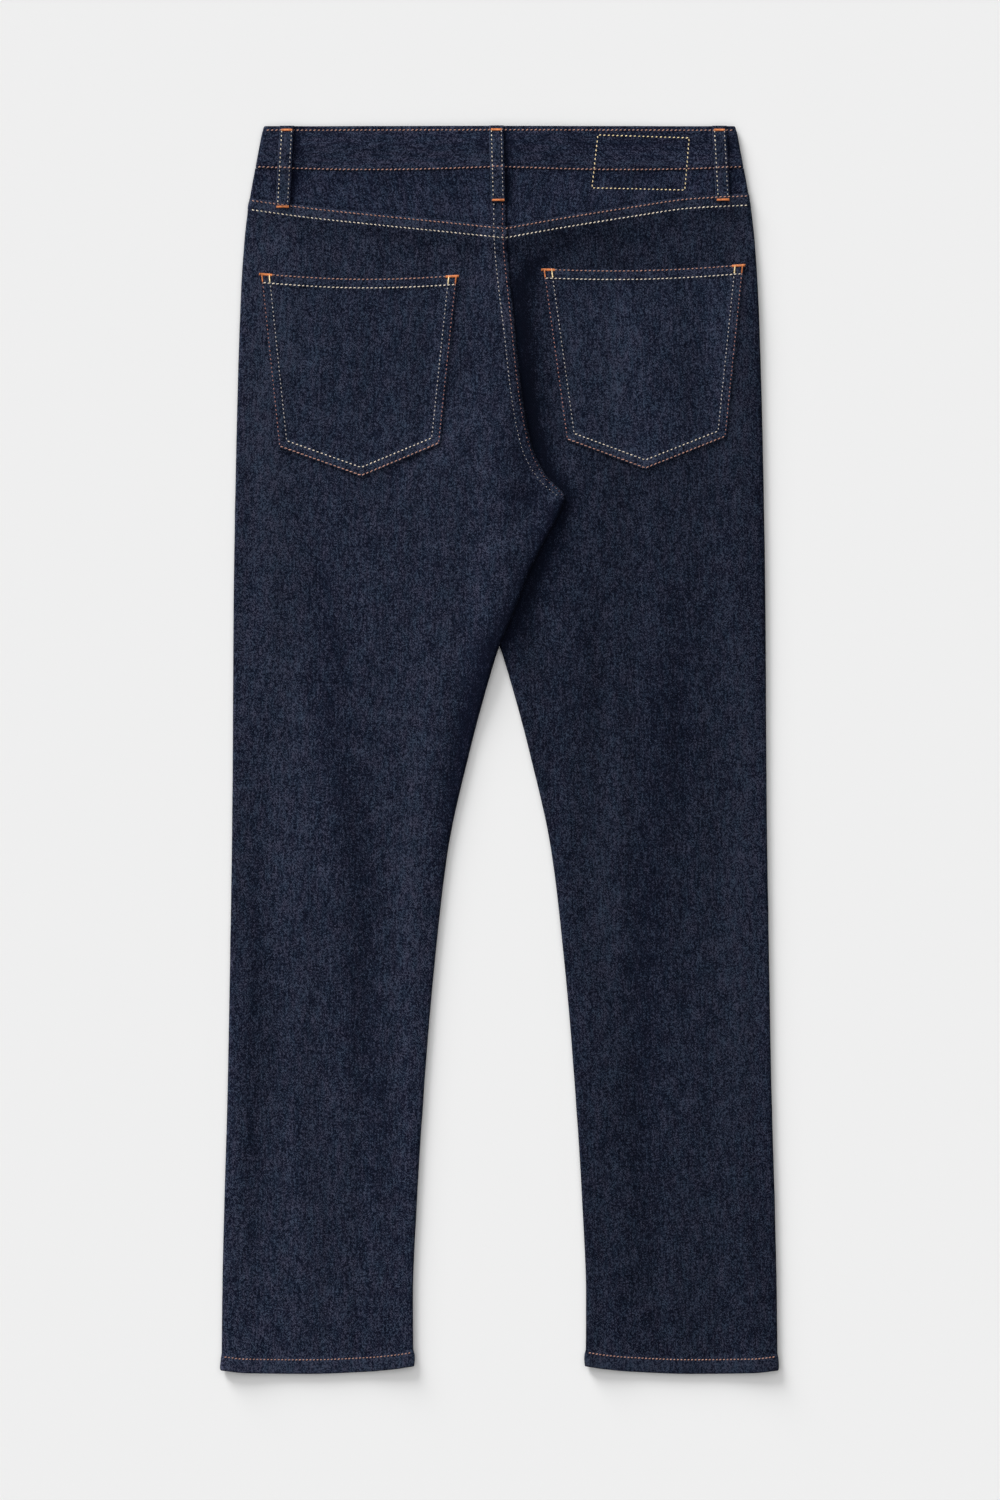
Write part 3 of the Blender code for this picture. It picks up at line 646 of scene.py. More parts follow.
def ridge(from_edge, rows, height):
    """A felled seam: raised between its edge and its second row, and pulled in along both rows."""
    lift = ease(from_edge, -0.0002, 0.0009) * (1 - ease(from_edge, rows[1] + 0.0002, rows[1] + 0.0030))
    return height * lift - pull(from_edge, *rows)


def pucker(kind, from_edge, along):
    """Slanted puckers between a seam's rows of stitches."""
    reach, height, length = PUCKERS[kind]
    inside = ease(from_edge, -0.001, 0.002) * (1 - ease(from_edge, reach, reach + 0.006))
    phase = 2 * np.pi * (along + 0.5 * from_edge) / length + 2.2 * wave(along, 0.047, 0.031, 0.019)
    strength = 0.65 + 0.35 * wave(along, 0.083, 0.038)
    return height * strength * inside * np.sin(phase)


def back_relief(side, x, below):
    """Seam ridges and puckers on a back panel's upper face."""
    past_seam, from_hem = past_yoke(side, x, below), above_hem(side, x, below)
    relief = ridge(past_seam, SEAM_ROWS, 0.0004) + pucker("yoke seam", past_seam, x)
    relief = relief + pucker("hem", from_hem, x) - pull(from_hem, HEM_ROW)
    if side == LEFT:
        from_inner = past_inner(side, x, below)
        seat = ridge(from_inner, SEAT_ROWS, 0.0003) + pucker("seat seam", from_inner, below)
        relief = relief + (1 - ease(below, 0.312, 0.326)) * seat
    grain = wave(x + 0.3 * below, 0.071, 0.043) * wave(below, 0.110, 0.067, 0.049)
    return relief + 0.00022 * grain


def yoke_relief(side, x, below):
    relief = 0.0002 * wave(x + 0.3 * below, 0.061, 0.037) * wave(below, 0.05, 0.031)
    relief = relief + pucker("yoke top", below - waist_seam(np.abs(x)), x)
    relief = relief - 0.0005 * hump(past_yoke(side, x, below), -0.0008, 0.0010)
    if side == LEFT:
        from_inner = past_inner(side, x, below)
        relief = relief + ridge(from_inner, SEAT_ROWS, 0.0003)
        relief = relief + pucker("yoke centre", from_inner, below)
    return relief


# Tones of the cloth


def tone_of(x, below, relief=0.0):
    """Painted light where the cloth is raised and painted shade where it sinks, broad stretches that are
    partly its own streaks and partly painted light and shade, and painted shade along the right outer seam,
    which turns from the light.
    """
    broad = folds(TONES, x, below) + 0.02 * wave(x, 0.31, 0.17) * wave(below, 0.9, 0.5)
    # Painted shade along the right half's outer seam, whose edge curves down away from the light
    hidden = hump(outer_edge(below), x, 0.0065)
    hidden = hidden * ease(below, 0.100, 0.160) * (1 - ease(below, 0.420, 0.560))
    return broad - 0.16 * hidden + RELIEF_LIGHT_AND_SHADE * relief


def crease_shade(x, below):
    """Painted shade along the crease, from the nearest place on its path."""
    x, below = np.broadcast_arrays(np.asarray(x, float), below)
    nearest, shade = np.full(x.shape, 1.0), np.zeros(x.shape)
    for (x0, b0, width0, depth0), (x1, b1, width1, depth1) in zip(CREASE_SHADE, CREASE_SHADE[1:]):
        length = (x1 - x0) ** 2 + (b1 - b0) ** 2
        share = np.clip(((x - x0) * (x1 - x0) + (below - b0) * (b1 - b0)) / length, 0, 1)
        off = np.hypot(x - x0 - share * (x1 - x0), below - b0 - share * (b1 - b0))
        width, depth = width0 + share * (width1 - width0), depth0 + share * (depth1 - depth0)
        around, core = np.exp(-((off / (1.15 * width)) ** 2.2)), np.exp(-((off / (0.55 * width)) ** 4))
        shade = np.where(off < nearest, depth * (0.75 * around + 0.45 * core), shade)
        nearest = np.minimum(off, nearest)
    return shade


def seam_shade(side, x, below):
    """The thin dark line on the right half beside the left half's lapped edge."""
    past = np.clip(x + inner_edge(LEFT, below), 0, None)
    return (0.40 if side == RIGHT else 0.0) * hump(past, 0, 0.0016) * (1 - ease(below, 0.150, 0.200))


def loop_shade(x, below):
    """The cloth is darker beside each belt loop, most on its right, which the light doesn't reach."""
    total = np.zeros(np.broadcast(x, below).shape)
    for name, head_x, foot_x, foot in BACK_LOOPS:
        off = x - (head_x + (foot_x - head_x) * below / foot)
        right = hump(np.clip(off - LOOP_WIDTH / 2, 0, None), 0, 0.0062) * (off > 0)
        left = hump(np.clip(-off - LOOP_WIDTH / 2, 0, None), 0, 0.0028) * (off < 0)
        beside = (0.46 if head_x < 0.1 else 0.20) * right + 0.18 * ease(below, 0.020, 0.045) * left
        total += beside * (1 - ease(below, foot, foot + 0.006))
    return total


def back_tone(side, x, below):
    # Painted light on the raised lap below the yoke seam; painted shade below that lap, beside the lapped
    # seat edge and in the crease
    past_seam = past_yoke(side, x, below)
    on_lap = ease(past_seam, -0.001, 0.001) * (1 - ease(past_seam, 0.0095, 0.0115))
    shaded = hump(past_seam, 0.0200, 0.0110) * (1 - ease(side * x, 0.090, 0.165))
    on_hem = 1 - ease(above_hem(side, x, below), HEM_ROW - 0.001, HEM_ROW + 0.002)
    tone = tone_of(x, below, back_relief(side, x, below)) - seam_shade(side, x, below)
    tone = tone + LAP_HIGHLIGHT[side] * on_lap + 0.19 * on_hem - SHADE_TONE[side] * shaded
    return tone - crease_shade(x, below) * ((side == RIGHT) | (below >= CROTCH))


def yoke_tone(side, x, below):
    # Painted shadow below the waistband's edge, beside the belt loops and beside the lapped seat edge
    band_shadow = hump(below - waist_seam(np.abs(x)), 0.0070, 0.0065)
    tone = tone_of(x, below, yoke_relief(side, x, below)) - 0.09 * band_shadow
    return tone - loop_shade(x, below) - seam_shade(side, x, below)


def band_tone(x, below, relief, upper, from_top, from_foot):
    """Painted light and shade on the waistband's upper face: palest near its foot, darker across its middle,
    and darkest to the right of its centre, which gets less light.
    """
    across = 0.08 * hump(from_foot, 0.0060, 0.0050) - 0.06 * hump(from_top, 0.0150, 0.0060)
    across = across - 0.06 * ease(x, -0.004, 0.010) * (1 - ease(x, 0.170, 0.200))
    return tone_of(x, below, relief) + (across - loop_shade(x, below)) * upper


# Materials


def new_material(name):
    made = bpy.data.materials.new(name)
    made.use_nodes = True
    return made, made.node_tree


def feed(tree, node, inputs):
    """Link each socket, and set each plain value, on a node's inputs."""
    for socket, value in dict(inputs).items():
        if isinstance(value, bpy.types.NodeSocket):
            tree.links.new(value, node.inputs[socket])
        else:
            node.inputs[socket].default_value = value


def feed_shader(tree, inputs):
    feed(tree, tree.nodes["Principled BSDF"], inputs)


def add_node(tree, kind, inputs=(), **settings):
    made = tree.nodes.new(kind)
    for key, value in settings.items():
        setattr(made, key, value)
    feed(tree, made, inputs)
    return made


def maths(tree, operation, *values):
    return add_node(tree, "ShaderNodeMath", enumerate(values), operation=operation).outputs[0]


def vectors(tree, operation, inputs):
    return add_node(tree, "ShaderNodeVectorMath", inputs, operation=operation).outputs[0]


def remap(tree, value, to_low, to_high, low=0.30, high=0.70):
    ends = {"From Min": low, "From Max": high, "To Min": to_low, "To Max": to_high}
    return add_node(tree, "ShaderNodeMapRange", {"Value": value, **ends}).outputs[0]


def grains(tree, uv, size, shift):
    """Texture space in which a grain of the given size in metres along u and v measures 1."""
    scaled = vectors(tree, "MULTIPLY", {0: uv, 1: (1 / size[0], 1 / size[1], 1)})
    return vectors(tree, "ADD", {0: scaled, 1: (*shift, 0)})


def grain_noise(tree, uv, seed, weft, warp, detail, shift):
    spot = grains(tree, uv, (weft, warp), (seed + shift, (seed + shift) * 1.7))
    inputs = {"Vector": spot, "Scale": 1.0, "Detail": detail}
    return add_node(tree, "ShaderNodeTexNoise", inputs, noise_dimensions="2D").outputs[0]


def flecks(tree, uv, seed):
    """One random value for each small cell, as where pale weft shows between the warps."""
    inputs = {"Vector": grains(tree, uv, FLECK, (seed, seed)), "Scale": 1.0, "Randomness": 0.85}
    cells = add_node(tree, "ShaderNodeTexVoronoi", inputs, voronoi_dimensions="2D")
    return add_node(tree, "ShaderNodeSeparateColor", {0: cells.outputs["Color"]}).outputs[0]


def wales(tree, uv, wander):
    """The twill's slanted lines, as a sine across them."""
    parts = add_node(tree, "ShaderNodeSeparateXYZ", {0: uv}).outputs
    u, v = maths(tree, "MULTIPLY", parts[0], 0.87), maths(tree, "MULTIPLY", parts[1], 0.50)
    slant = maths(tree, "SUBTRACT", u, v)
    slant = maths(tree, "ADD", slant, maths(tree, "MULTIPLY", wander, 0.0012))
    return maths(tree, "SINE", maths(tree, "MULTIPLY", slant, 2 * math.pi / WALE_PITCH))


def indigo(tree, total, tint):
    """The cloth's colour from its summed grain, dark at 0 and pale at 1."""
    ramp = add_node(tree, "ShaderNodeValToRGB", {0: total})
    stops = ramp.color_ramp.elements
    stops.new(0.5)
    for stop, at, colour in zip(stops, (0.0, 0.5, 1.0), (DENIM_DARK, DENIM_MIDDLE, DENIM_LIGHT)):
        stop.position, stop.color = at, (*np.multiply(colour, tint), 1)
    return ramp.outputs[0]


def denim_material(name, seed, tint):
    made, tree = new_material(name)
    uv = add_node(tree, "ShaderNodeUVMap", uv_map="cloth").outputs[0]
    grain = {key: grain_noise(tree, uv, seed, *row) for key, row in GRAINS.items()}
    wale = wales(tree, uv, grain["wander"])
    total = maths(tree, "MULTIPLY", flecks(tree, uv, seed), FLECK_SHARE)
    for key, share in GRAIN_SHARES.items():
        centred = remap(tree, grain[key], -0.5, 0.5)
        total = maths(tree, "ADD", total, maths(tree, "MULTIPLY", centred, share))
    total = maths(tree, "ADD", total, maths(tree, "MULTIPLY", wale, WALE_SHARE))
    # Per-point tone: the cloth's own streaks plus painted light and painted shade
    tone_and_painted_light = add_node(tree, "ShaderNodeAttribute", attribute_name="tone_and_painted_light").outputs["Fac"]
    total = maths(tree, "ADD", maths(tree, "ADD", total, DENIM_BALANCE), tone_and_painted_light)
    tone = remap(tree, grain["streak"], 0.90, 1.10)
    toned = vectors(tree, "SCALE", {0: indigo(tree, total, tint), "Scale": tone})
    hue = {0: remap(tree, grain["hue"], 0.87, 1.13), 1: 1.0, 2: 1.0}
    cast = add_node(tree, "ShaderNodeCombineXYZ", hue).outputs[0]
    raised = maths(tree, "MULTIPLY", grain["speckle"], 1.6)
    height = maths(tree, "ADD", maths(tree, "MULTIPLY", wale, 0.5), raised)
    bump = add_node(tree, "ShaderNodeBump", {"Height": height, "Strength": 0.5, "Distance": 0.00022})
    feed_shader(tree, {
        "Base Color": vectors(tree, "MULTIPLY", {0: toned, 1: cast}),
        "Normal": bump.outputs[0],
        "Roughness": 0.86,
        "Specular IOR Level": 0.05,
        "Sheen Weight": 0.01,
        "Sheen Roughness": 0.5,
    })
    return made


def uneven(tree, colour, scale, detail, low, high):
    """The colour with a fine uneven tone, and the noise that gives it."""
    place_of = add_node(tree, "ShaderNodeNewGeometry").outputs["Position"]
    inputs = {"Vector": place_of, "Scale": scale, "Detail": detail}
    noise = add_node(tree, "ShaderNodeTexNoise", inputs).outputs[0]
    return vectors(tree, "SCALE", {0: colour, "Scale": remap(tree, noise, low, high)}), noise


def thread_material(name, colour):
    made, tree = new_material(name)
    base, noise = uneven(tree, colour, 450.0, 1.0, 0.75, 1.25)
    feed_shader(tree, {"Base Color": base, "Roughness": 0.6, "Sheen Weight": 0.1})
    return made


def metal_material(name, colour):
    made, tree = new_material(name)
    base, noise = uneven(tree, colour, 900.0, 2.0, 0.8, 1.1)
    feed_shader(tree, {"Base Color": base, "Roughness": remap(tree, noise, 0.28, 0.5), "Metallic": 1.0})
    return made


# Walls


def place(x, below, height):
    return np.stack(np.broadcast_arrays(x, WAIST_Y - below, height), axis=-1)


def add_object(name, data):
    made = bpy.data.objects.new(name, data)
    bpy.context.scene.collection.objects.link(made)
    return made


def add_mesh(name, points, faces, look, uv=None, tone_and_painted_light=None, node=None):
    mesh = bpy.data.meshes.new(name)
    mesh.from_pydata(points.reshape(-1, 3).tolist(), [], faces)
    mesh.materials.append(look)
    mesh.shade_smooth()
    mesh.set_sharp_from_angle(angle=math.radians(50))
    if uv is not None:
        layer = mesh.uv_layers.new(name="cloth")
        corners = np.empty(len(mesh.loops), dtype=np.int32)
        mesh.loops.foreach_get("vertex_index", corners)
        layer.data.foreach_set("uv", uv[corners].astype(np.float32).ravel())
        # Per-point tone: the cloth's own streaks plus painted light and painted shade
        layer = mesh.attributes.new("tone_and_painted_light", "FLOAT", "POINT")
        layer.data.foreach_set("value", tone_and_painted_light.astype(np.float32))
    made = add_object(name, mesh)
    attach(made, "root")
    if node:
        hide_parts(node)
    return made


def grid_faces(rows, columns, start=0):
    corner = start + np.arange(rows * columns).reshape(rows, columns)
    quads = np.stack([corner[:-1, :-1], corner[:-1, 1:], corner[1:, 1:], corner[1:, :-1]], axis=-1)
    return quads.reshape(-1, 4)


def rim_of(rows, columns):
    """The grid's outermost points, in order round it."""
    at = np.arange(rows * columns).reshape(rows, columns)
    return np.concatenate([at[0], at[1:, -1], at[-1, -2::-1], at[-2:0:-1, 0]])


def add_shell(node, outer, inner, up, look, uv, tone_and_painted_light, closed=False):
    """The cloth's outer face with its rim turned in, or the whole wall where it is closed."""
    rows, columns = outer.shape[:2]
    size, rim = rows * columns, rim_of(rows, columns)
    foot = size + (rim if closed else np.arange(len(rim)))
    walls = [grid_faces(rows, columns), np.stack([np.roll(rim, -1), rim, foot, np.roll(foot, -1)], axis=-1)]
    if closed:
        walls.insert(1, grid_faces(rows, columns, size)[:, ::-1])
    faces = np.concatenate(walls)
    turned_in = np.arange(size) if closed else rim
    points, uv = outer.reshape(-1, 3), uv.reshape(-1, 2)
    middle = rows // 2 * columns + columns // 2
    a, b, c = points[middle], points[middle + 1], points[middle + columns]
    if np.cross(b - a, c - a)[2] * up < 0:
        faces = faces[:, ::-1]
    points = np.concatenate([points, inner.reshape(-1, 3)[turned_in]])
    uv = np.concatenate([uv, uv[turned_in]])
    tone = np.zeros(len(points))
    tone[:size] = tone_and_painted_light.ravel()
    return add_mesh("cloth_" + node, points, faces.tolist(), look, uv, tone, node)


def flat_columns(side, below, edges, steps):
    """Distance of each flat column from the centre line, towards the piece's own side."""
    inward = CURL_REACH + CLOTH / 2
    start, stop = edges[0](below) - inward, edges[1](below) + inward
    far, near = lift_bends(side, below)
    near = np.maximum(near, stop + 0.004)
    far = np.minimum(np.maximum(far, near + 0.008), start - 0.010)
    bends = (start, far, near, stop)
    blocks, c = [], 0
    for first, last, count in zip(bends, bends[1:], steps):
        share = np.arange(1 if c else 0, count + 1) / count
        span = slice(c, c + len(share))
        blocks.append(first[:, span] + (last[:, span] - first[:, span]) * share)
        c += len(share)
    return np.concatenate(blocks, axis=1)


def side_curl(side, way, across, middle, rows, edge, end, up):
    """Columns from a piece's flat part round to the cloth that its side edge is sewn to."""
    angles = np.linspace(0, np.pi / 2, CURL_STEPS + 1)[:-1]
    inset = CLOTH / 2 + CURL_REACH * (1 - np.cos(angles))
    a = np.repeat(across, CURL_STEPS, axis=1)
    for _ in range(4):
        b = rows(a)
        a = edge(b) - way * inset
    foot = end(side * a, b, middle) + 0 * a
    rise = np.abs(middle - foot)
    length = np.hypot(rise * np.cos(angles), CURL_REACH * np.sin(angles))
    height = foot + (middle - foot) * np.sin(angles)
    normal_x = way * rise * np.cos(angles) / length
    return a, b, height, normal_x, up * CURL_REACH * np.sin(angles) / length


def panel_grid(side, rows, row_count, edges, under, ends, up, steps, relief=lambda x, below: 0.0, extra=0.0):
    """Outer and inner points of a panel whose side edges curl to the cloth that they are sewn to."""
    half = CLOTH / 2
    across = np.repeat(np.linspace(0.2, 0.0, sum(steps) + 1)[None], row_count, axis=0)
    for _ in range(6):
        across = flat_columns(side, rows(across), edges, steps)
    below = rows(across)
    middle = under(side * across, below) + half
    first = side_curl(side, 1, across[:, :1], middle[:, :1], rows, edges[0], ends[0], up)
    last = side_curl(side, -1, across[:, -1:], middle[:, -1:], rows, edges[1], ends[1], up)
    flat = (across, below, middle, np.zeros_like(across), np.full_like(across, up))
    blocks = (first, flat, tuple(part[:, ::-1] for part in last))
    a, below, height, normal_x, normal_z = (np.concatenate(parts, axis=1) for parts in zip(*blocks))
    x, normal_x = side * a, side * normal_x
    thick = half + extra + relief(x, below)
    outer = place(x + normal_x * thick, below, height + normal_z * thick)
    inner = place(x - normal_x * half, below, height - normal_z * half)
    return outer, inner, x, below


def cloth_uv(x, below, shift=0.0, turn=0.0):
    """Metres along the weft and the warp; turn swings the grain round a place on the waist."""
    du, c, s = x - shift, math.cos(turn), math.sin(turn)
    return np.stack([du * c - below * s + shift, -du * s - below * c], axis=-1)


def leg_rows(laps, lap_line, stations, top, hems):
    """Rows that follow the upper seam, then the leg, then the hem, as "below" for a distance across."""
    first, second = len(laps), len(laps) + len(stations)

    def rows(across):
        lap = lap_line(across[:first]) + laps[:, None]
        leg_across, s = across[first:second], stations[:, None]
        leg = s + top(leg_across, s) - hem_rise(leg_across) * ease(s, 0.900, 1.050)
        hem = OUTSEAM - hem_rise(across[second:]) - hems[:, None]
        return np.concatenate([lap, leg, hem])

    return rows, second + len(hems)


def outseam_end(x, below, flat):
    return SEAM_HEIGHT + GAP / 2


def back_panel(side, look):
    def seam(across):
        return yoke_seam(side, np.clip(across, 0, None))

    def seam_top(across, s):
        return (seam(across) - 0.072) * (1 - ease(s, 0.090, 0.200))

    def inseam_end(x, below, flat):
        plain = flat - LEAST_CURL
        sewn = inseam_height(side, below) + GAP / 2
        if side == RIGHT:
            return plain + (np.minimum(sewn, plain) - plain) * ease(below, *HIDDEN_SEAM)
        edge = side * inner_edge(side, below)
        on_right = np.minimum(leg_under(RIGHT, edge, below) + CLOTH + GAP, plain)
        return on_right + (sewn - on_right) * ease(below, 0.306, CROTCH)

    def under(x, below):
        return leg_under(side, x, below) + folds(BACK_FOLDS, x, below)

    laps = np.concatenate([[0.0, 0.0004], np.arange(0.0010, 0.0250, ROW_STEP / 2)])
    hems = np.concatenate([np.arange(0.0180, 0.0009, -ROW_STEP / 2), [0.0004, 0.0]])
    rows, count = leg_rows(laps, seam, np.arange(*BACK_STATIONS, ROW_STEP), seam_top, hems)
    extra = np.zeros(count)
    extra[:2] = -0.0004, -0.0001
    extra[-len(hems):] = HEM_EXTRA * (1 - ease(hems, HEM - 0.0002, HEM + 0.0010))
    extra[-2:] -= 0.0002, 0.0006
    outer, inner, x, below = panel_grid(
        side, rows, count, (outer_edge, partial(inner_edge, side)), under, (outseam_end, inseam_end),
        1, BACK_STEPS, partial(back_relief, side), extra[:, None],
    )
    uv, tone = cloth_uv(x, below, side * 0.11, side * 0.02), back_tone(side, x, below)
    return add_shell("back_" + SIDE_NAMES[side], outer, inner, 1, look, uv, tone)


def front_panel(side, look):
    def scooped_edge(below):
        return np.where(below < SCOOP_END, read(SCOOP, below), outer_edge(below))

    def dip_top(across, s):
        return (front_dip(across) - FRONT_DIP / 2) * (1 - ease(s, 0.050, 0.090))

    def outer_end(x, below, flat):
        plain = flat + LEAST_CURL
        return plain + (SEAM_HEIGHT - GAP / 2 - plain) * ease(below, SCOOP_END, SCOOP_END + 0.008)

    def inseam_end(x, below, flat):
        plain = flat + LEAST_CURL
        sewn = inseam_height(side, below) - GAP / 2
        if side == RIGHT:
            return plain + (np.maximum(sewn, plain) - plain) * ease(below, *HIDDEN_SEAM)
        return plain + (sewn - plain) * ease(below, 0.312, CROTCH)

    laps = np.array([GAP, 0.002, 0.004, 0.006, 0.009, 0.012])
    hems = np.array([0.016, 0.013, 0.0125, 0.011, 0.008, 0.005, 0.002, 0.0])
    rows, count = leg_rows(laps, front_seam, np.arange(*FRONT_STATIONS, ROW_STEP * 1.5), dip_top, hems)
    outer, inner, x, below = panel_grid(
        side, rows, count, (scooped_edge, partial(inner_edge, side, front=True)), partial(front_under, side),
        (outer_end, inseam_end), -1, FRONT_STEPS,
    )
    uv = cloth_uv(x, below, side * 0.10, side * 0.02)
    return add_shell("front_" + SIDE_NAMES[side], outer, inner, -1, look, uv, tone_of(x, below))


def yoke(side, look):
    shares = np.linspace(0, 1, 28)

    def rows(across):
        seam, wide = np.clip(across, 0, None), outer_edge(0.08)
        lap = SEAM_LAP * ease(seam, 0.012, 0.032) * (1 - ease(seam, wide - 0.032, wide - 0.014))
        top = waist_seam(seam) + GAP
        return top + (yoke_seam(side, seam) + lap - GAP - top) * shares[:, None]

    def centre_end(x, below, flat):
        plain = flat - LEAST_CURL
        if side == RIGHT:
            return plain
        edge = side * inner_edge(side, below)
        return np.minimum(back_under(RIGHT, edge, below) + CLOTH + GAP, plain)

    outer, inner, x, below = panel_grid(
        side, rows, len(shares), (outer_edge, partial(inner_edge, side)), partial(back_under, side),
        (outseam_end, centre_end), 1, YOKE_STEPS, partial(yoke_relief, side),
    )
    uv, tone = cloth_uv(x, below, side * 0.31, side * -0.16), yoke_tone(side, x, below)
    return add_shell("yoke_" + SIDE_NAMES[side], outer, inner, 1, look, uv, tone, closed=True)


def pocket_facing(side, look):
    shares = np.linspace(0, 1, 30)

    def rows(across):
        top = front_seam(across) + GAP
        return top + (SCOOP_END - 0.0015 - top) * shares[:, None]

    def lapped_edge(below):
        return read(SCOOP, below) - SCOOP_LAP

    def under(x, below):
        return floor_lift(x, below) + LAYER + GAP

    def outer_end(x, below, flat):
        return SEAM_HEIGHT - 0.0006

    def inner_end(x, below, flat):
        return flat + LEAST_CURL

    outer, inner, x, below = panel_grid(
        side, rows, len(shares), (outer_edge, lapped_edge), under, (outer_end, inner_end), -1, FACING_STEPS
    )
    uv, tone = cloth_uv(x, below, side * 0.1, side * 0.1), tone_of(x, below)
    return add_shell("pocket_facing_" + SIDE_NAMES[side], outer, inner, -1, look, uv, tone, closed=True)


# The waistband: each strip gives x, its top, its width, its height and its normal


def band_back(x):
    from_side = outer_edge(WAISTBAND / 2) - np.abs(x)
    height = back_floor(x, WAISTBAND / 2) + WAIST_BULGE * (1 - ease(from_side, *OUTER_FALL)) + BAND / 2
    return x, 0 * x, waist_seam(np.abs(x)), height, 0 * x, 0 * x + 1


def band_front(x, lapped):
    lap = (BAND + GAP) * (1 - ease(x, *BAND_RAMP)) if lapped else 0 * x
    height = floor_lift(x, WAISTBAND / 2) + lap + BAND / 2
    return x, front_dip(x), WAISTBAND + 0 * x, height, 0 * x, 0 * x - 1


def band_side(side, edge, angles):
    low, high = band_front(side * edge, False)[3], band_back(side * edge)[3]
    semi = (high - low) / 2
    x = side * (edge - BAND / 2 - BAND_CURL * (1 - np.cos(angles)))
    length = np.hypot(semi * np.cos(angles), BAND_CURL * np.sin(angles))
    height = (low + high) / 2 + semi * np.sin(angles)
    normal = side * semi * np.cos(angles) / length, BAND_CURL * np.sin(angles) / length
    return x, 0 * x, WAISTBAND + 0 * x, height, *normal


def waistband(look):
    """One folded strip from the outer front end, round both sides, to the inner front end."""
    rows, turns = [], np.radians(np.linspace(-80, 80, 9))
    shares = np.concatenate([[0.0, 0.004, 0.02], np.linspace(0.05, 0.95, 22), [0.98, 0.996, 1.0]])
    for share in shares:
        edge = float(outer_edge(WAISTBAND * share))
        reach = edge - BAND / 2 - BAND_CURL
        strips = (
            band_front(LEFT_BAND_END + (-reach - LEFT_BAND_END) * np.linspace(0, 1, 90), False),
            band_side(LEFT, edge, turns),
            band_back(reach * np.linspace(-1, 1, 200)),
            band_side(RIGHT, edge, turns[::-1]),
            band_front(reach + (RIGHT_BAND_END - reach) * np.linspace(0, 1, 100), True),
        )
        rows.append(np.concatenate([np.stack(strip) for strip in strips], axis=1))
    x, top, wide, height, normal_x, normal_z = np.moveaxis(np.array(rows), 1, 0)
    from_top, from_foot = wide * shares[:, None], wide * (1 - shares[:, None])
    below = top + from_top
    relief = pucker("band foot", from_foot, x) + pucker("band top", from_top, x)
    relief = relief - pull(from_foot, BAND_ROWS[1]) - pull(from_top, BAND_ROWS[0], depth=0.0002)
    relief = relief + 0.00018 * wave(x, 0.067, 0.041) * wave(below, 0.031, 0.05)
    half = BAND / 2 - 0.0005 * (np.exp(-from_top / 0.0007) + np.exp(-from_foot / ROUNDING))
    thick = half + relief * (normal_z > -0.5)
    outer = place(x + normal_x * thick, below, height + normal_z * thick)
    inner = place(x - normal_x * half, below, height - normal_z * half)
    along = np.concatenate([[0], np.cumsum(np.linalg.norm(np.diff(outer[10], axis=0), axis=1))])
    uv = np.stack(np.broadcast_arrays(0.5 - below, along[None]), axis=-1)
    tone = band_tone(x, below, relief, normal_z > 0, from_top, from_foot)
    return add_shell("waistband", outer, inner, -1, look, uv, tone, closed=True)


def surface_of(pieces, sign, nearby=0.0):
    """Height of the pieces' highest point at a place or close by, or of their lowest with a sign of -1."""
    trees = []
    for piece in pieces:
        polygons = [tuple(p.vertices) for p in piece.data.polygons]
        trees.append(BVHTree.FromPolygons([tuple(v.co) for v in piece.data.vertices], polygons))
    around = ((0, 0), (-nearby, 0), (nearby, 0), (0, -nearby), (0, nearby)) if nearby else ((0, 0),)

    def height(x, below):
        spots = []
        for dx, dy in around:
            start = Vector((x + dx, WAIST_Y - below + dy, sign))
            spots += [tree.ray_cast(start, Vector((0, 0, -sign)))[0] for tree in trees]
        return sign * max((sign * spot.z for spot in spots if spot is not None), default=0.0)

    return height


def pocket_point(side, u, v):
    """(x, below) at shares across a pocket from its outer edge and down it from its top."""
    corner = {key: np.array(value) for key, value in POCKETS[side].items()}
    u, v = (share[..., None] for share in np.broadcast_arrays(u, v))
    top = corner["outer_top"] * (1 - u) + corner["inner_top"] * u
    top = top + np.array([0, 1]) * corner["sag"] * np.sin(np.pi * u)
    to_side = np.abs(1 - 2 * u)
    bottom = np.where(u <= 0.5, corner["outer_bottom"], corner["inner_bottom"])
    return top * (1 - v) + (bottom * to_side + corner["point"] * (1 - to_side)) * v


def within_rows(from_end):
    """1 between a pocket's end and its second row of stitches."""
    return 1 - ease(from_end, POCKET_ROWS[1], POCKET_ROWS[1] + 0.002)


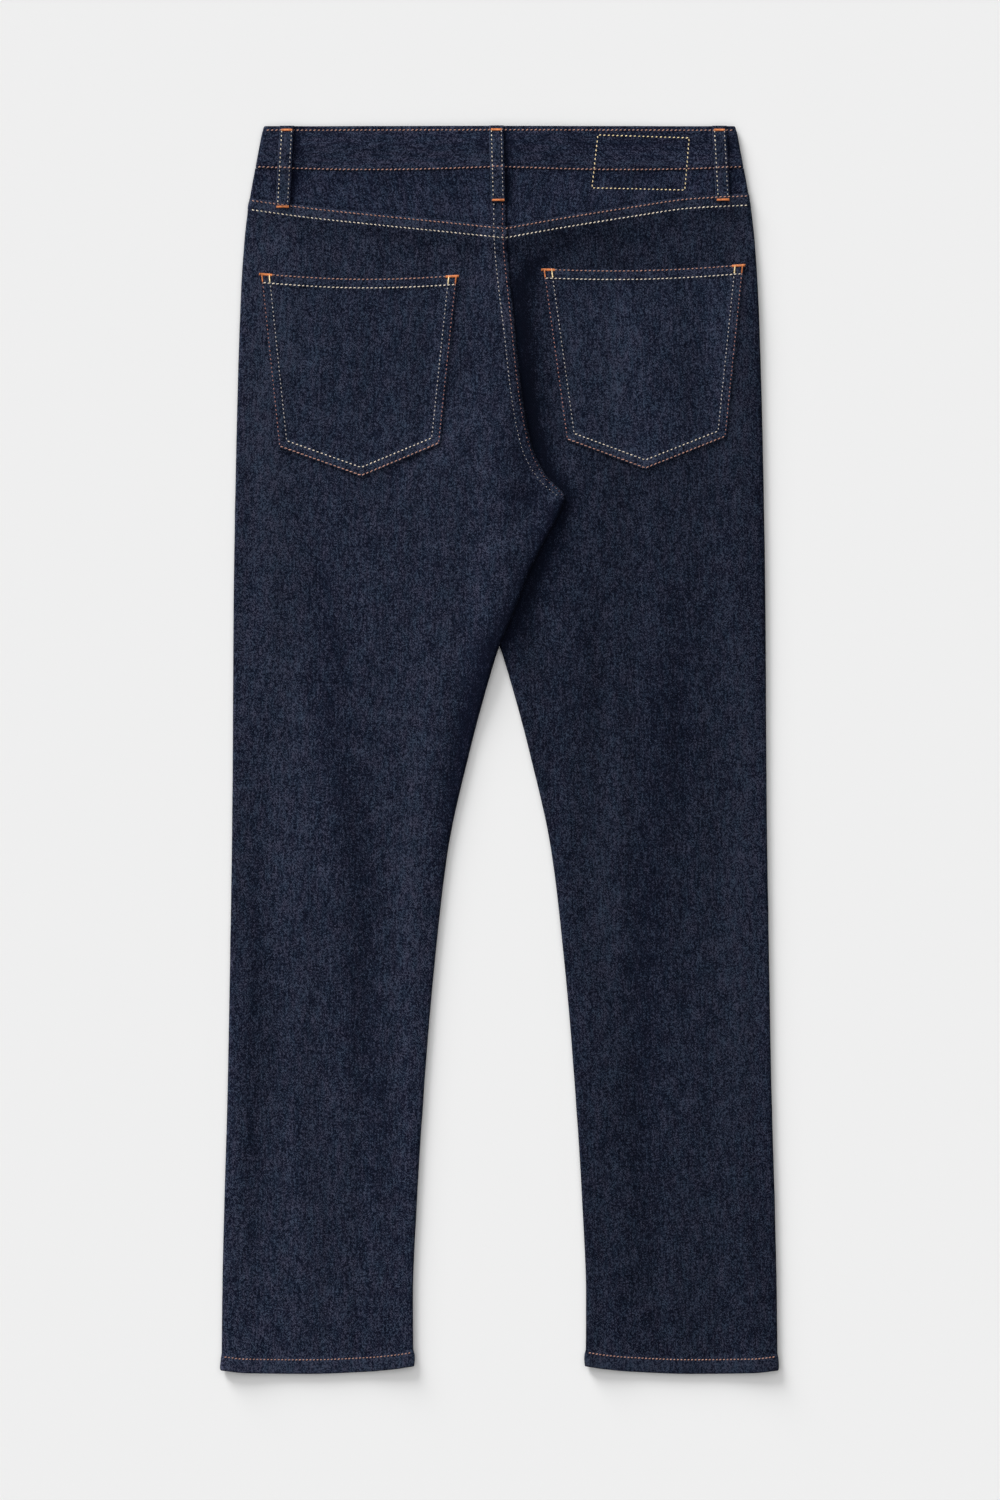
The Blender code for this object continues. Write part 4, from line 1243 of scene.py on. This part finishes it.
def back_pocket(side, panel_top, look):
    width = abs(POCKETS[side]["inner_top"][0] - POCKETS[side]["outer_top"][0])
    turned = POCKET_HEM / width
    half = np.concatenate([turned * TURNED_STEPS, np.linspace(turned * 1.4, 0.5, 28)])
    u = np.concatenate([half, 1 - half[-2::-1]])
    end = 0.055 * TURNED_STEPS
    v = np.concatenate([end, np.linspace(0.075, 0.925, 58), 1 - end[::-1]])[:, None]
    x, below = np.moveaxis(pocket_point(side, u, v), -1, 0)
    low = np.vectorize(panel_top)(x, below) + POCKET_GAP / 2
    from_side, from_end = np.minimum(u, 1 - u) * width, np.minimum(v, 1 - v) * POCKET_DEPTH
    gap = np.minimum(from_side, from_end)
    lift = (1 - ease(gap, POCKET_HEM * 0.96, POCKET_HEM * 1.16)) * POCKET_TURNED
    crinkle = pucker("pocket", gap, np.where(from_side <= from_end, below, x))
    relief = crinkle - pull(gap, *POCKET_ROWS, depth=0.00025) - 0.0005 * np.exp(-gap / ROUNDING)
    relief = relief + 0.0002 * wave(x, 0.047, 0.029) * wave(below, 0.06, 0.041)
    swell = 0.0005 * np.sin(np.pi * u) * np.sin(np.pi * np.minimum(v * 1.4, 1.0))
    pale = 0.07 * within_rows(v * POCKET_DEPTH) + 0.15 * within_rows((1 - v) * POCKET_DEPTH)
    outer, inner = place(x, below, low + CLOTH + lift + relief + swell), place(x, below, low)
    uv = cloth_uv(x + side * 0.7, below, side * 0.8, side * 0.06)
    tone = tone_of(x, below, relief) + pale
    return add_shell("back_pocket_" + SIDE_NAMES[side], outer, inner, 1, look, uv, tone, closed=True)


def back_loop(name, head_x, foot_x, foot, under, look):
    """A strap that lies on the waistband and the yoke, pressed at both ends and arched between them."""
    foot = foot + 0.0008
    shares = np.concatenate([[0, 0.008, 0.02], np.linspace(0.04, 0.96, 56), [0.98, 0.992, 1]])[:, None]
    x = head_x + (foot_x - head_x) * shares + LOOP_ACROSS * LOOP_WIDTH / 2
    below = -LOOP_HEAD + (foot + LOOP_HEAD) * shares
    rests = np.vectorize(under)(x[:, ::3], np.maximum(below, 0.0006)).max(axis=1)
    padded = np.pad(rests, 2, mode="edge")
    rest = np.max([padded[i:i + len(rests)] for i in range(5)], axis=0)[:, None]
    low = rest + 0.00015 + LOOP_ARCH * ease(shares, 0.02, 0.25) * (1 - ease(shares, 0.55, 0.88))
    end = np.minimum(shares, 1 - shares) * (foot + LOOP_HEAD)
    sunk = LOOP_DROP + 0.0006 * np.exp(-end / ROUNDING) + 0.0004 * hump(end, 0.0016, 0.0014)
    ripple = 0.00022 * wave(below + 0.4 * LOOP_ACROSS * 0.006, 0.0061, 0.0043)
    outer, inner = place(x, below, low + STRAP - sunk + ripple), place(x, below, low)
    shade = 0.22 * np.clip(-LOOP_ACROSS, 0, 1) ** 4 - 0.48 * np.clip(LOOP_ACROSS, 0, 1) ** 6
    uv, tone = cloth_uv(x + foot * 3, below), tone_of(x, below) + 0.13 + shade
    return add_shell(name, outer, inner, 1, look, uv, tone, closed=True)


def front_loop(side, look):
    """A strap on the front waistband, which rests on the floor."""
    across = np.array([-1, -0.94, -0.8, -0.5, 0, 0.5, 0.8, 0.94, 1]) * LOOP_WIDTH / 2
    drop = np.array([0.0007, 0.0002, 0, 0, 0, 0, 0, 0.0002, 0.0007])
    shares = np.concatenate([[0, 0.01], np.linspace(0.04, 0.96, 40), [0.99, 1]])[:, None]
    x = side * FRONT_LOOP_X + across + 0 * shares
    below = front_dip(side * FRONT_LOOP_X) - LOOP_OVER_EDGE + FRONT_LOOP_LENGTH * shares + 0 * across
    end = np.minimum(shares, 1 - shares) * FRONT_LOOP_LENGTH
    outer, inner = place(x, below, drop + 0.0006 * np.exp(-end / ROUNDING)), place(x, below, STRAP)
    uv, tone = cloth_uv(x, below), tone_of(x, below)
    return add_shell("belt_loop_front_" + SIDE_NAMES[side], outer, inner, -1, look, uv, tone, closed=True)


# Thread


class Threads:
    """Short bent tubes of thread on a surface, gathered into one mesh."""

    def __init__(self, surface, sign):
        self.surface, self.sign = surface, sign
        self.points, self.faces = [], []

    def add(self, middle, along, length, radius, sink=0.00040, lift=0.0):
        """One stitch at a place in plan, dipping into the cloth at both ends."""
        along = np.asarray(along) / np.linalg.norm(along)
        off = np.array([-along[1], along[0]])
        start = len(self.points)
        raised = 0.55 * radius
        profile = ((-0.5, -sink, 0.55), (-0.3, raised, 1), (0.3, raised, 1), (0.5, -sink, 0.55))
        for share, rise, size in profile:
            x, below = np.asarray(middle) + along * length * share
            base = self.surface(x, below) + self.sign * lift
            for k in range(5):
                turn = 2 * math.pi * (k + 0.5) / 5
                shift = off * radius * size * math.cos(turn)
                height = base + self.sign * (rise + radius * size * 0.8 * math.sin(turn))
                self.points.append((x + shift[0], WAIST_Y - below - shift[1], height))
        for a in range(start, start + 15):
            b = a + 1 if (a - start) % 5 < 4 else a - 4
            self.faces.append((a, b, b + 5, a + 5) if self.sign > 0 else (b, a, a + 5, b + 5))

    def row(self, path, slant=0.20, pitch=STITCH_PITCH, fading=None, weight=1.0, share=STITCH_SHARE):
        """Stitches along a path in plan, turned by a slant and thinning between the fading levels."""
        path = np.asarray(path, float)
        travelled = np.concatenate([[0], np.cumsum(np.linalg.norm(np.diff(path, axis=0), axis=1))])
        count = int(travelled[-1] / pitch)

        def spot(at):
            return np.array([np.interp(at, travelled, path[:, c]) for c in (0, 1)])

        for i in range(count):
            at = (i + 0.5) * travelled[-1] / count
            middle, along = spot(at), spot(at + 0.0008) - spot(at - 0.0008)
            uneven_by = 0.07 * math.sin(i * 12.9898) + 0.05 * math.sin(i * 4.1414)
            c, s = math.cos(slant + uneven_by), math.sin(slant + uneven_by)
            along = np.array([along[0] * c + along[1] * s, -along[0] * s + along[1] * c])
            size = weight * (1 - 0.50 * float(ease(middle[1], *fading)) if fading else 1.0)
            length = share * pitch * (1 + uneven_by) * (0.4 + 0.6 * size)
            self.add(middle, along, length, THREAD * size)

    def bar(self, middle, along, length, width):
        """A bartack: threads packed side by side across a short line."""
        along = np.asarray(along, float) / np.linalg.norm(along)
        off = np.array([-along[1], along[0]])
        count = max(3, int(length / BAR_PITCH))
        for i in range(count):
            spot = np.asarray(middle) + along * length * ((i + 0.5) / count - 0.5)
            lean = off + along * (0.16 if i % 2 else -0.16)
            self.add(spot, lean, width, BAR_THREAD, sink=0.0001, lift=0.00022)

    def build(self, name, look):
        return add_mesh(name, np.array(self.points), self.faces, look)


def path_of(x, below):
    return np.stack(np.broadcast_arrays(x, below), axis=-1)


def line(start, end):
    share = np.linspace(0, 1, 40)[:, None]
    return np.asarray(start) * (1 - share) + np.asarray(end) * share


def offset_path(path, distance):
    """A path moved sideways by a distance, to the left of its own direction."""
    along = np.gradient(path, axis=0)
    along /= np.linalg.norm(along, axis=1)[:, None]
    return path + np.stack([-along[:, 1], along[:, 0]], axis=1) * distance


def inset_outline(outline, distance, side):
    """The open outline moved inwards by a distance, with its corners kept sharp."""
    lines = []
    for start, end in zip(outline, outline[1:]):
        along = (end - start) / np.linalg.norm(end - start)
        inward = np.array([along[1], -along[0]]) * -side
        lines.append((start + inward * distance, along))
    points = [lines[0][0]]
    for (p, d), (q, e) in zip(lines, lines[1:]):
        points.append(p + d * np.linalg.solve(np.array([d, -e]).T, q - p)[0])
    points.append(outline[-1] + (lines[-1][0] - outline[-2]))
    return points


def hem_path(side):
    narrow, wide = float(inner_edge(RIGHT, HEM_LEVEL)) + 0.002, float(outer_edge(HEM_LEVEL)) - 0.002
    across = np.linspace(narrow, wide, 100)
    return path_of(side * across, OUTSEAM - hem_rise(across) - HEM_ROW)


def seat_row(distance):
    """A row along the seat seam that closes on the edge towards the crotch and ends at the inner leg."""
    below = np.linspace(0.0880, CROTCH, 300)
    edge_path = path_of(-inner_edge(LEFT, below), below)
    last = edge_path[-1] - edge_path[-6]
    edge_path = np.concatenate([edge_path, edge_path[-1] + last * np.linspace(0.3, 3, 10)[:, None]])
    nearing = 1 - 0.13 * ease(edge_path[:, 1], 0.130, 0.190) - 0.35 * ease(edge_path[:, 1], 0.270, CROTCH)
    path = offset_path(edge_path, (distance * nearing)[:, None])
    return path[(path[:, 0] < -inner_edge(LEFT, path[:, 1]) - 0.0015) & (path[:, 1] < CROTCH - 0.0015)]


def sew_waist(threads):
    """The waistband's two long rows and the two rows of each yoke seam."""
    rust = threads["rust"]
    edge = float(outer_edge(0.0)) - ROW_END
    rust.row(line((-edge, BAND_ROWS[0]), (edge, BAND_ROWS[0])), slant=0.34, share=LYING_SHARE)
    edge = float(outer_edge(WAISTBAND)) - ROW_END
    x = np.linspace(-edge, edge, 200)
    rust.row(path_of(x, waist_seam(np.abs(x)) - BAND_ROWS[1]), slant=0.34, share=LYING_SHARE)
    for side in (LEFT, RIGHT):
        across = np.linspace(YOKE_ROW_START[side], float(outer_edge(0.065)) - ROW_END, 160)
        seam = yoke_seam(side, np.clip(across, 0, None))
        for key, row in zip(("rust", "cream"), SEAM_ROWS):
            threads[key].row(path_of(side * across, seam + row), slant=0.32 * side, share=LYING_SHARE)


def sew_seat(threads):
    """Two rows over the centre of the yokes, then down the seat seam to the crotch."""
    # The seat rows take the darker copies of the rust and cream thread, as painted shade
    for key, row in zip(("shaded_rust", "shaded_cream"), SEAT_ROWS):
        x = SEAT_EDGE_X - row
        threads[key].row(line((x, 0.0650), (x, 0.0860)), weight=0.95)
        threads[key].row(seat_row(row), fading=(0.150, 0.300), weight=0.88, share=0.56)


def sew_pocket(threads, side):
    order = "outer_top", "outer_bottom", "point", "inner_bottom", "inner_top"
    outline = [np.array(POCKETS[side][key]) for key in order]
    opening = pocket_point(side, np.linspace(0.012, 0.988, 80), 0.0)
    # The upright side rows take the darker copies of the thread, as painted shade
    kinds = (("rust", "shaded_rust", 0.76), ("cream", "shaded_cream", 0.58))
    for (key, upright, share), row, top_row in zip(kinds, POCKET_ROWS, POCKET_TOP_ROWS):
        path = inset_outline(outline, row, side)
        for start, end in zip(path, path[1:]):
            if abs(end[1] - start[1]) > abs(end[0] - start[0]):
                threads[upright].row(line(start, end), slant=0.18, weight=0.90)
            else:
                threads[key].row(line(start, end), slant=0.18, share=share)
        threads[key].row(opening + (0, top_row), slant=0.18, share=LYING_SHARE)


def tack_pocket(threads, side):
    """Bartacks at both top corners: two down the side rows and one along the opening."""
    for u, way in ((0.0, 1), (1.0, -1)):
        for key, row in zip(("orange", "mustard"), POCKET_ROWS):
            at = u + way * row / POCKET_WIDTH
            head, foot = pocket_point(side, at, 0.006), pocket_point(side, at, 0.052)
            threads[key].bar((head + foot) / 2, foot - head, 0.0068, 0.0011)
        start = pocket_point(side, u - way * 0.006, 0.0) + (0, 0.0012)
        end = pocket_point(side, u + way * 0.060, 0.0) + (0, 0.0012)
        threads["orange"].bar((start + end) / 2, end - start, float(np.linalg.norm(end - start)), 0.0022)


def sew_back_loop(threads, head_x, foot_x, foot):
    # The right row, away from the light, takes the darker copy of the cream thread, as painted shade
    for way, key, weight in ((-1, "cream", 0.92), (1, "shaded_cream", 0.84)):
        shift = way * (LOOP_WIDTH / 2 - LOOP_ROW)
        path = line((head_x + shift, 0.0030), (foot_x + shift, foot - 0.0030))
        threads[key].row(path, slant=0.12, weight=weight)
    threads["orange"].bar((head_x, 0.0034), (1, 0), LOOP_WIDTH * 0.72, 0.0020)
    threads["orange"].bar((foot_x, foot - 0.0002), (1, -0.02), LOOP_WIDTH * 0.84, 0.0021)


def sew_back(threads):
    sew_waist(threads)
    sew_seat(threads)
    for side in (LEFT, RIGHT):
        threads["rust"].row(hem_path(side), slant=0.25, pitch=HEM_PITCH, share=LYING_SHARE)
    for side in (LEFT, RIGHT):
        sew_pocket(threads, side)
        tack_pocket(threads, side)
    for name, *loop in BACK_LOOPS:
        sew_back_loop(threads, *loop)
    for start, end in zip(STITCHED_BOX, STITCHED_BOX[1:] + STITCHED_BOX[:1]):
        threads["mustard"].row(line(start, end), slant=0.24, share=0.56)


def sew_front_side(threads, side):
    """The rows along one pocket opening, one hem and one belt loop."""
    below = np.linspace(0.052, SCOOP_END - 0.002, 80)
    edge_path = path_of(side * read(SCOOP, below), below)
    for key, row in zip(("rust", "cream"), SCOOP_ROWS):
        threads[key].row(offset_path(edge_path, row * side))
    threads["rust"].row(hem_path(side), pitch=HEM_PITCH)
    x = side * FRONT_LOOP_X
    head = float(front_dip(x))
    for way in (-1, 1):
        row_x = x + way * (LOOP_WIDTH / 2 - LOOP_ROW)
        threads["cream"].row(line((row_x, head + 0.002), (row_x, head + 0.0610)))
    for tack in (0.0012, 0.0613):
        threads["orange"].bar((x, head + tack), (1, 0), LOOP_WIDTH * 0.9, 0.0021)


def sew_fly(threads):
    """Two rows that turn in to the rise, their bartacks, then the rise itself."""
    turn = np.linspace(0, np.pi / 2, 40)[1:]
    rise = np.linspace(0.1950, 0.3120, 120)
    rise_path = path_of(-inner_edge(LEFT, rise, front=True), rise)
    for key, wide in zip(("rust", "cream"), FLY_ROWS):
        straight = line((-wide, 0.0500), (-wide, 0.1450))
        bend = path_of(-wide * np.cos(turn) + 0.002 * np.sin(turn), 0.1450 + wide * np.sin(turn))
        threads[key].row(np.concatenate([straight, bend]))
    threads["orange"].bar((-0.0350, 0.1520), (0, 1), 0.0090, 0.0020)
    threads["orange"].bar((-0.0060, 0.1850), (0.3, 1), 0.0100, 0.0020)
    for key, row in zip(("rust", "cream"), RISE_ROWS):
        threads[key].row(offset_path(rise_path, row))


def sew_front(threads):
    for row in (BAND_ROWS[0], WAISTBAND - BAND_ROWS[1]):
        edge = float(outer_edge(row)) - 0.004
        x = np.linspace(-edge, edge, 200)
        threads["rust"].row(path_of(x, front_dip(x) + row))
    for side in (LEFT, RIGHT):
        sew_front_side(threads, side)
    sew_fly(threads)


def button(look):
    """The button's head: a rolled rim round a dished plain middle, facing the floor."""
    below = float(front_dip(0.0)) + WAISTBAND / 2
    turn = 2 * np.pi * np.arange(BUTTON_SIDES) / BUTTON_SIDES
    radius, height = np.array(BUTTON_PROFILE[:-1]).T[..., None]
    points = place(radius * np.cos(turn), below - radius * np.sin(turn), height).reshape(-1, 3).tolist()
    last = len(points) - BUTTON_SIDES
    faces = []
    for a in range(last):
        b = a + 1 if (a + 1) % BUTTON_SIDES else a + 1 - BUTTON_SIDES
        faces.append((a, b, b + BUTTON_SIDES, a + BUTTON_SIDES))
    faces += [(last + k, last + (k + 1) % BUTTON_SIDES, len(points)) for k in range(BUTTON_SIDES)]
    faces.append(tuple(range(BUTTON_SIDES - 1, -1, -1)))
    points.append((0.0, WAIST_Y - below, BUTTON_PROFILE[-1][1]))
    return add_mesh("button_head", np.array(points), faces, look, node="waist_button")


# Floor, light and camera


def lay_floor():
    mesh = bpy.data.meshes.new("floor")
    corners = [(x * FLOOR_REACH, y * FLOOR_REACH, 0) for x, y in ((-1, -1), (1, -1), (1, 1), (-1, 1))]
    mesh.from_pydata(corners, [], [(0, 1, 2, 3)])
    look, tree = new_material("floor_paint")
    noise = add_node(tree, "ShaderNodeTexNoise", {"Scale": 3.0, "Detail": 2.0}).outputs[0]
    tone = remap(tree, noise, FLOOR_ALBEDO * 0.998, FLOOR_ALBEDO * 1.002, 0.2, 0.8)
    paint = add_node(tree, "ShaderNodeCombineColor", {0: tone, 1: tone, 2: tone}).outputs[0]
    feed_shader(tree, {"Base Color": paint, "Roughness": 1.0, "Specular IOR Level": 0.0})
    mesh.materials.append(look)
    floor = add_object("floor", mesh)
    floor.location.z = -FLOOR_DROP


def light():
    for name, (share, *degrees) in LIGHTS.items():
        turn, height, breadth = np.radians(degrees).tolist()
        lamp = bpy.data.lights.new(name, "SUN")
        lamp.energy = math.pi * share / math.sin(height)
        lamp.angle = breadth
        towards = Vector((-math.cos(turn), math.sin(turn), math.tan(height)))
        add_object(name, lamp).rotation_euler = towards.to_track_quat("Z", "Y").to_euler()
    world = bpy.data.worlds.new("studio")
    world.use_nodes = True
    sky = world.node_tree.nodes["Background"]
    feed(world.node_tree, sky, {"Color": (1, 1, 1, 1), "Strength": SKY_SHARE})
    bpy.context.scene.world = world
    view = bpy.context.scene.view_settings
    view.view_transform, view.look, view.exposure, view.gamma = "Standard", "None", 0.0, 1.0


def camera():
    made = bpy.data.cameras.new("camera")
    made.sensor_fit, made.sensor_width, made.sensor_height = "VERTICAL", SENSOR * 2 / 3, SENSOR
    made.lens = SENSOR * CAMERA_HEIGHT / FRAME_HEIGHT
    made.clip_start, made.clip_end = 0.05, 50.0
    eye = add_object("camera", made)
    eye.location = (CAMERA_X, CAMERA_Y, CAMERA_HEIGHT)
    bpy.context.scene.camera = eye


def main():
    looks = {key: denim_material("denim_" + key, *row) for key, row in DENIMS.items()}
    backs, fronts, yokes, pockets, loops, facings = {}, {}, {}, {}, {}, {}
    for side in (LEFT, RIGHT):
        look = looks["leg_" + SIDE_NAMES[side]]
        backs[side] = back_panel(side, look)
        fronts[side] = front_panel(side, look)
        yokes[side] = yoke(side, looks["yoke"])
        pockets[side] = back_pocket(side, surface_of([backs[side]], 1, 0.003), looks["trim"])
        facings[side] = pocket_facing(side, look)
        loops["front", side] = front_loop(side, looks["trim"])
    band = waistband(looks["band"])
    upper = [band, *yokes.values(), *backs.values()]
    under = surface_of(upper, 1)
    for name, *loop in BACK_LOOPS:
        loops[name] = back_loop(name, *loop, under, looks["trim"])
    top = surface_of([*upper, *pockets.values(), *(loops[name] for name, *rest in BACK_LOOPS)], 1)
    lower = [band, *fronts.values(), *facings.values(), loops["front", LEFT], loops["front", RIGHT]]
    low = surface_of(lower, -1)
    back_threads = {key: Threads(top, 1) for key in THREAD_COLOURS}
    front_threads = {key: Threads(low, -1) for key in THREAD_COLOURS}
    sew_back(back_threads)
    sew_front(front_threads)
    for key, colour in THREAD_COLOURS.items():
        look = thread_material("thread_" + key, colour)
        back_threads[key].build("stitches_back_" + key, look)
        if front_threads[key].points:
            front_threads[key].build("stitches_front_" + key, look)
    button(metal_material("aged_brass", BRASS))
    bpy.data.objects["fly_zip"].data.materials[0] = thread_material("zip_cloth", ZIP_CLOTH)
    lay_floor()
    light()
    camera()


main()
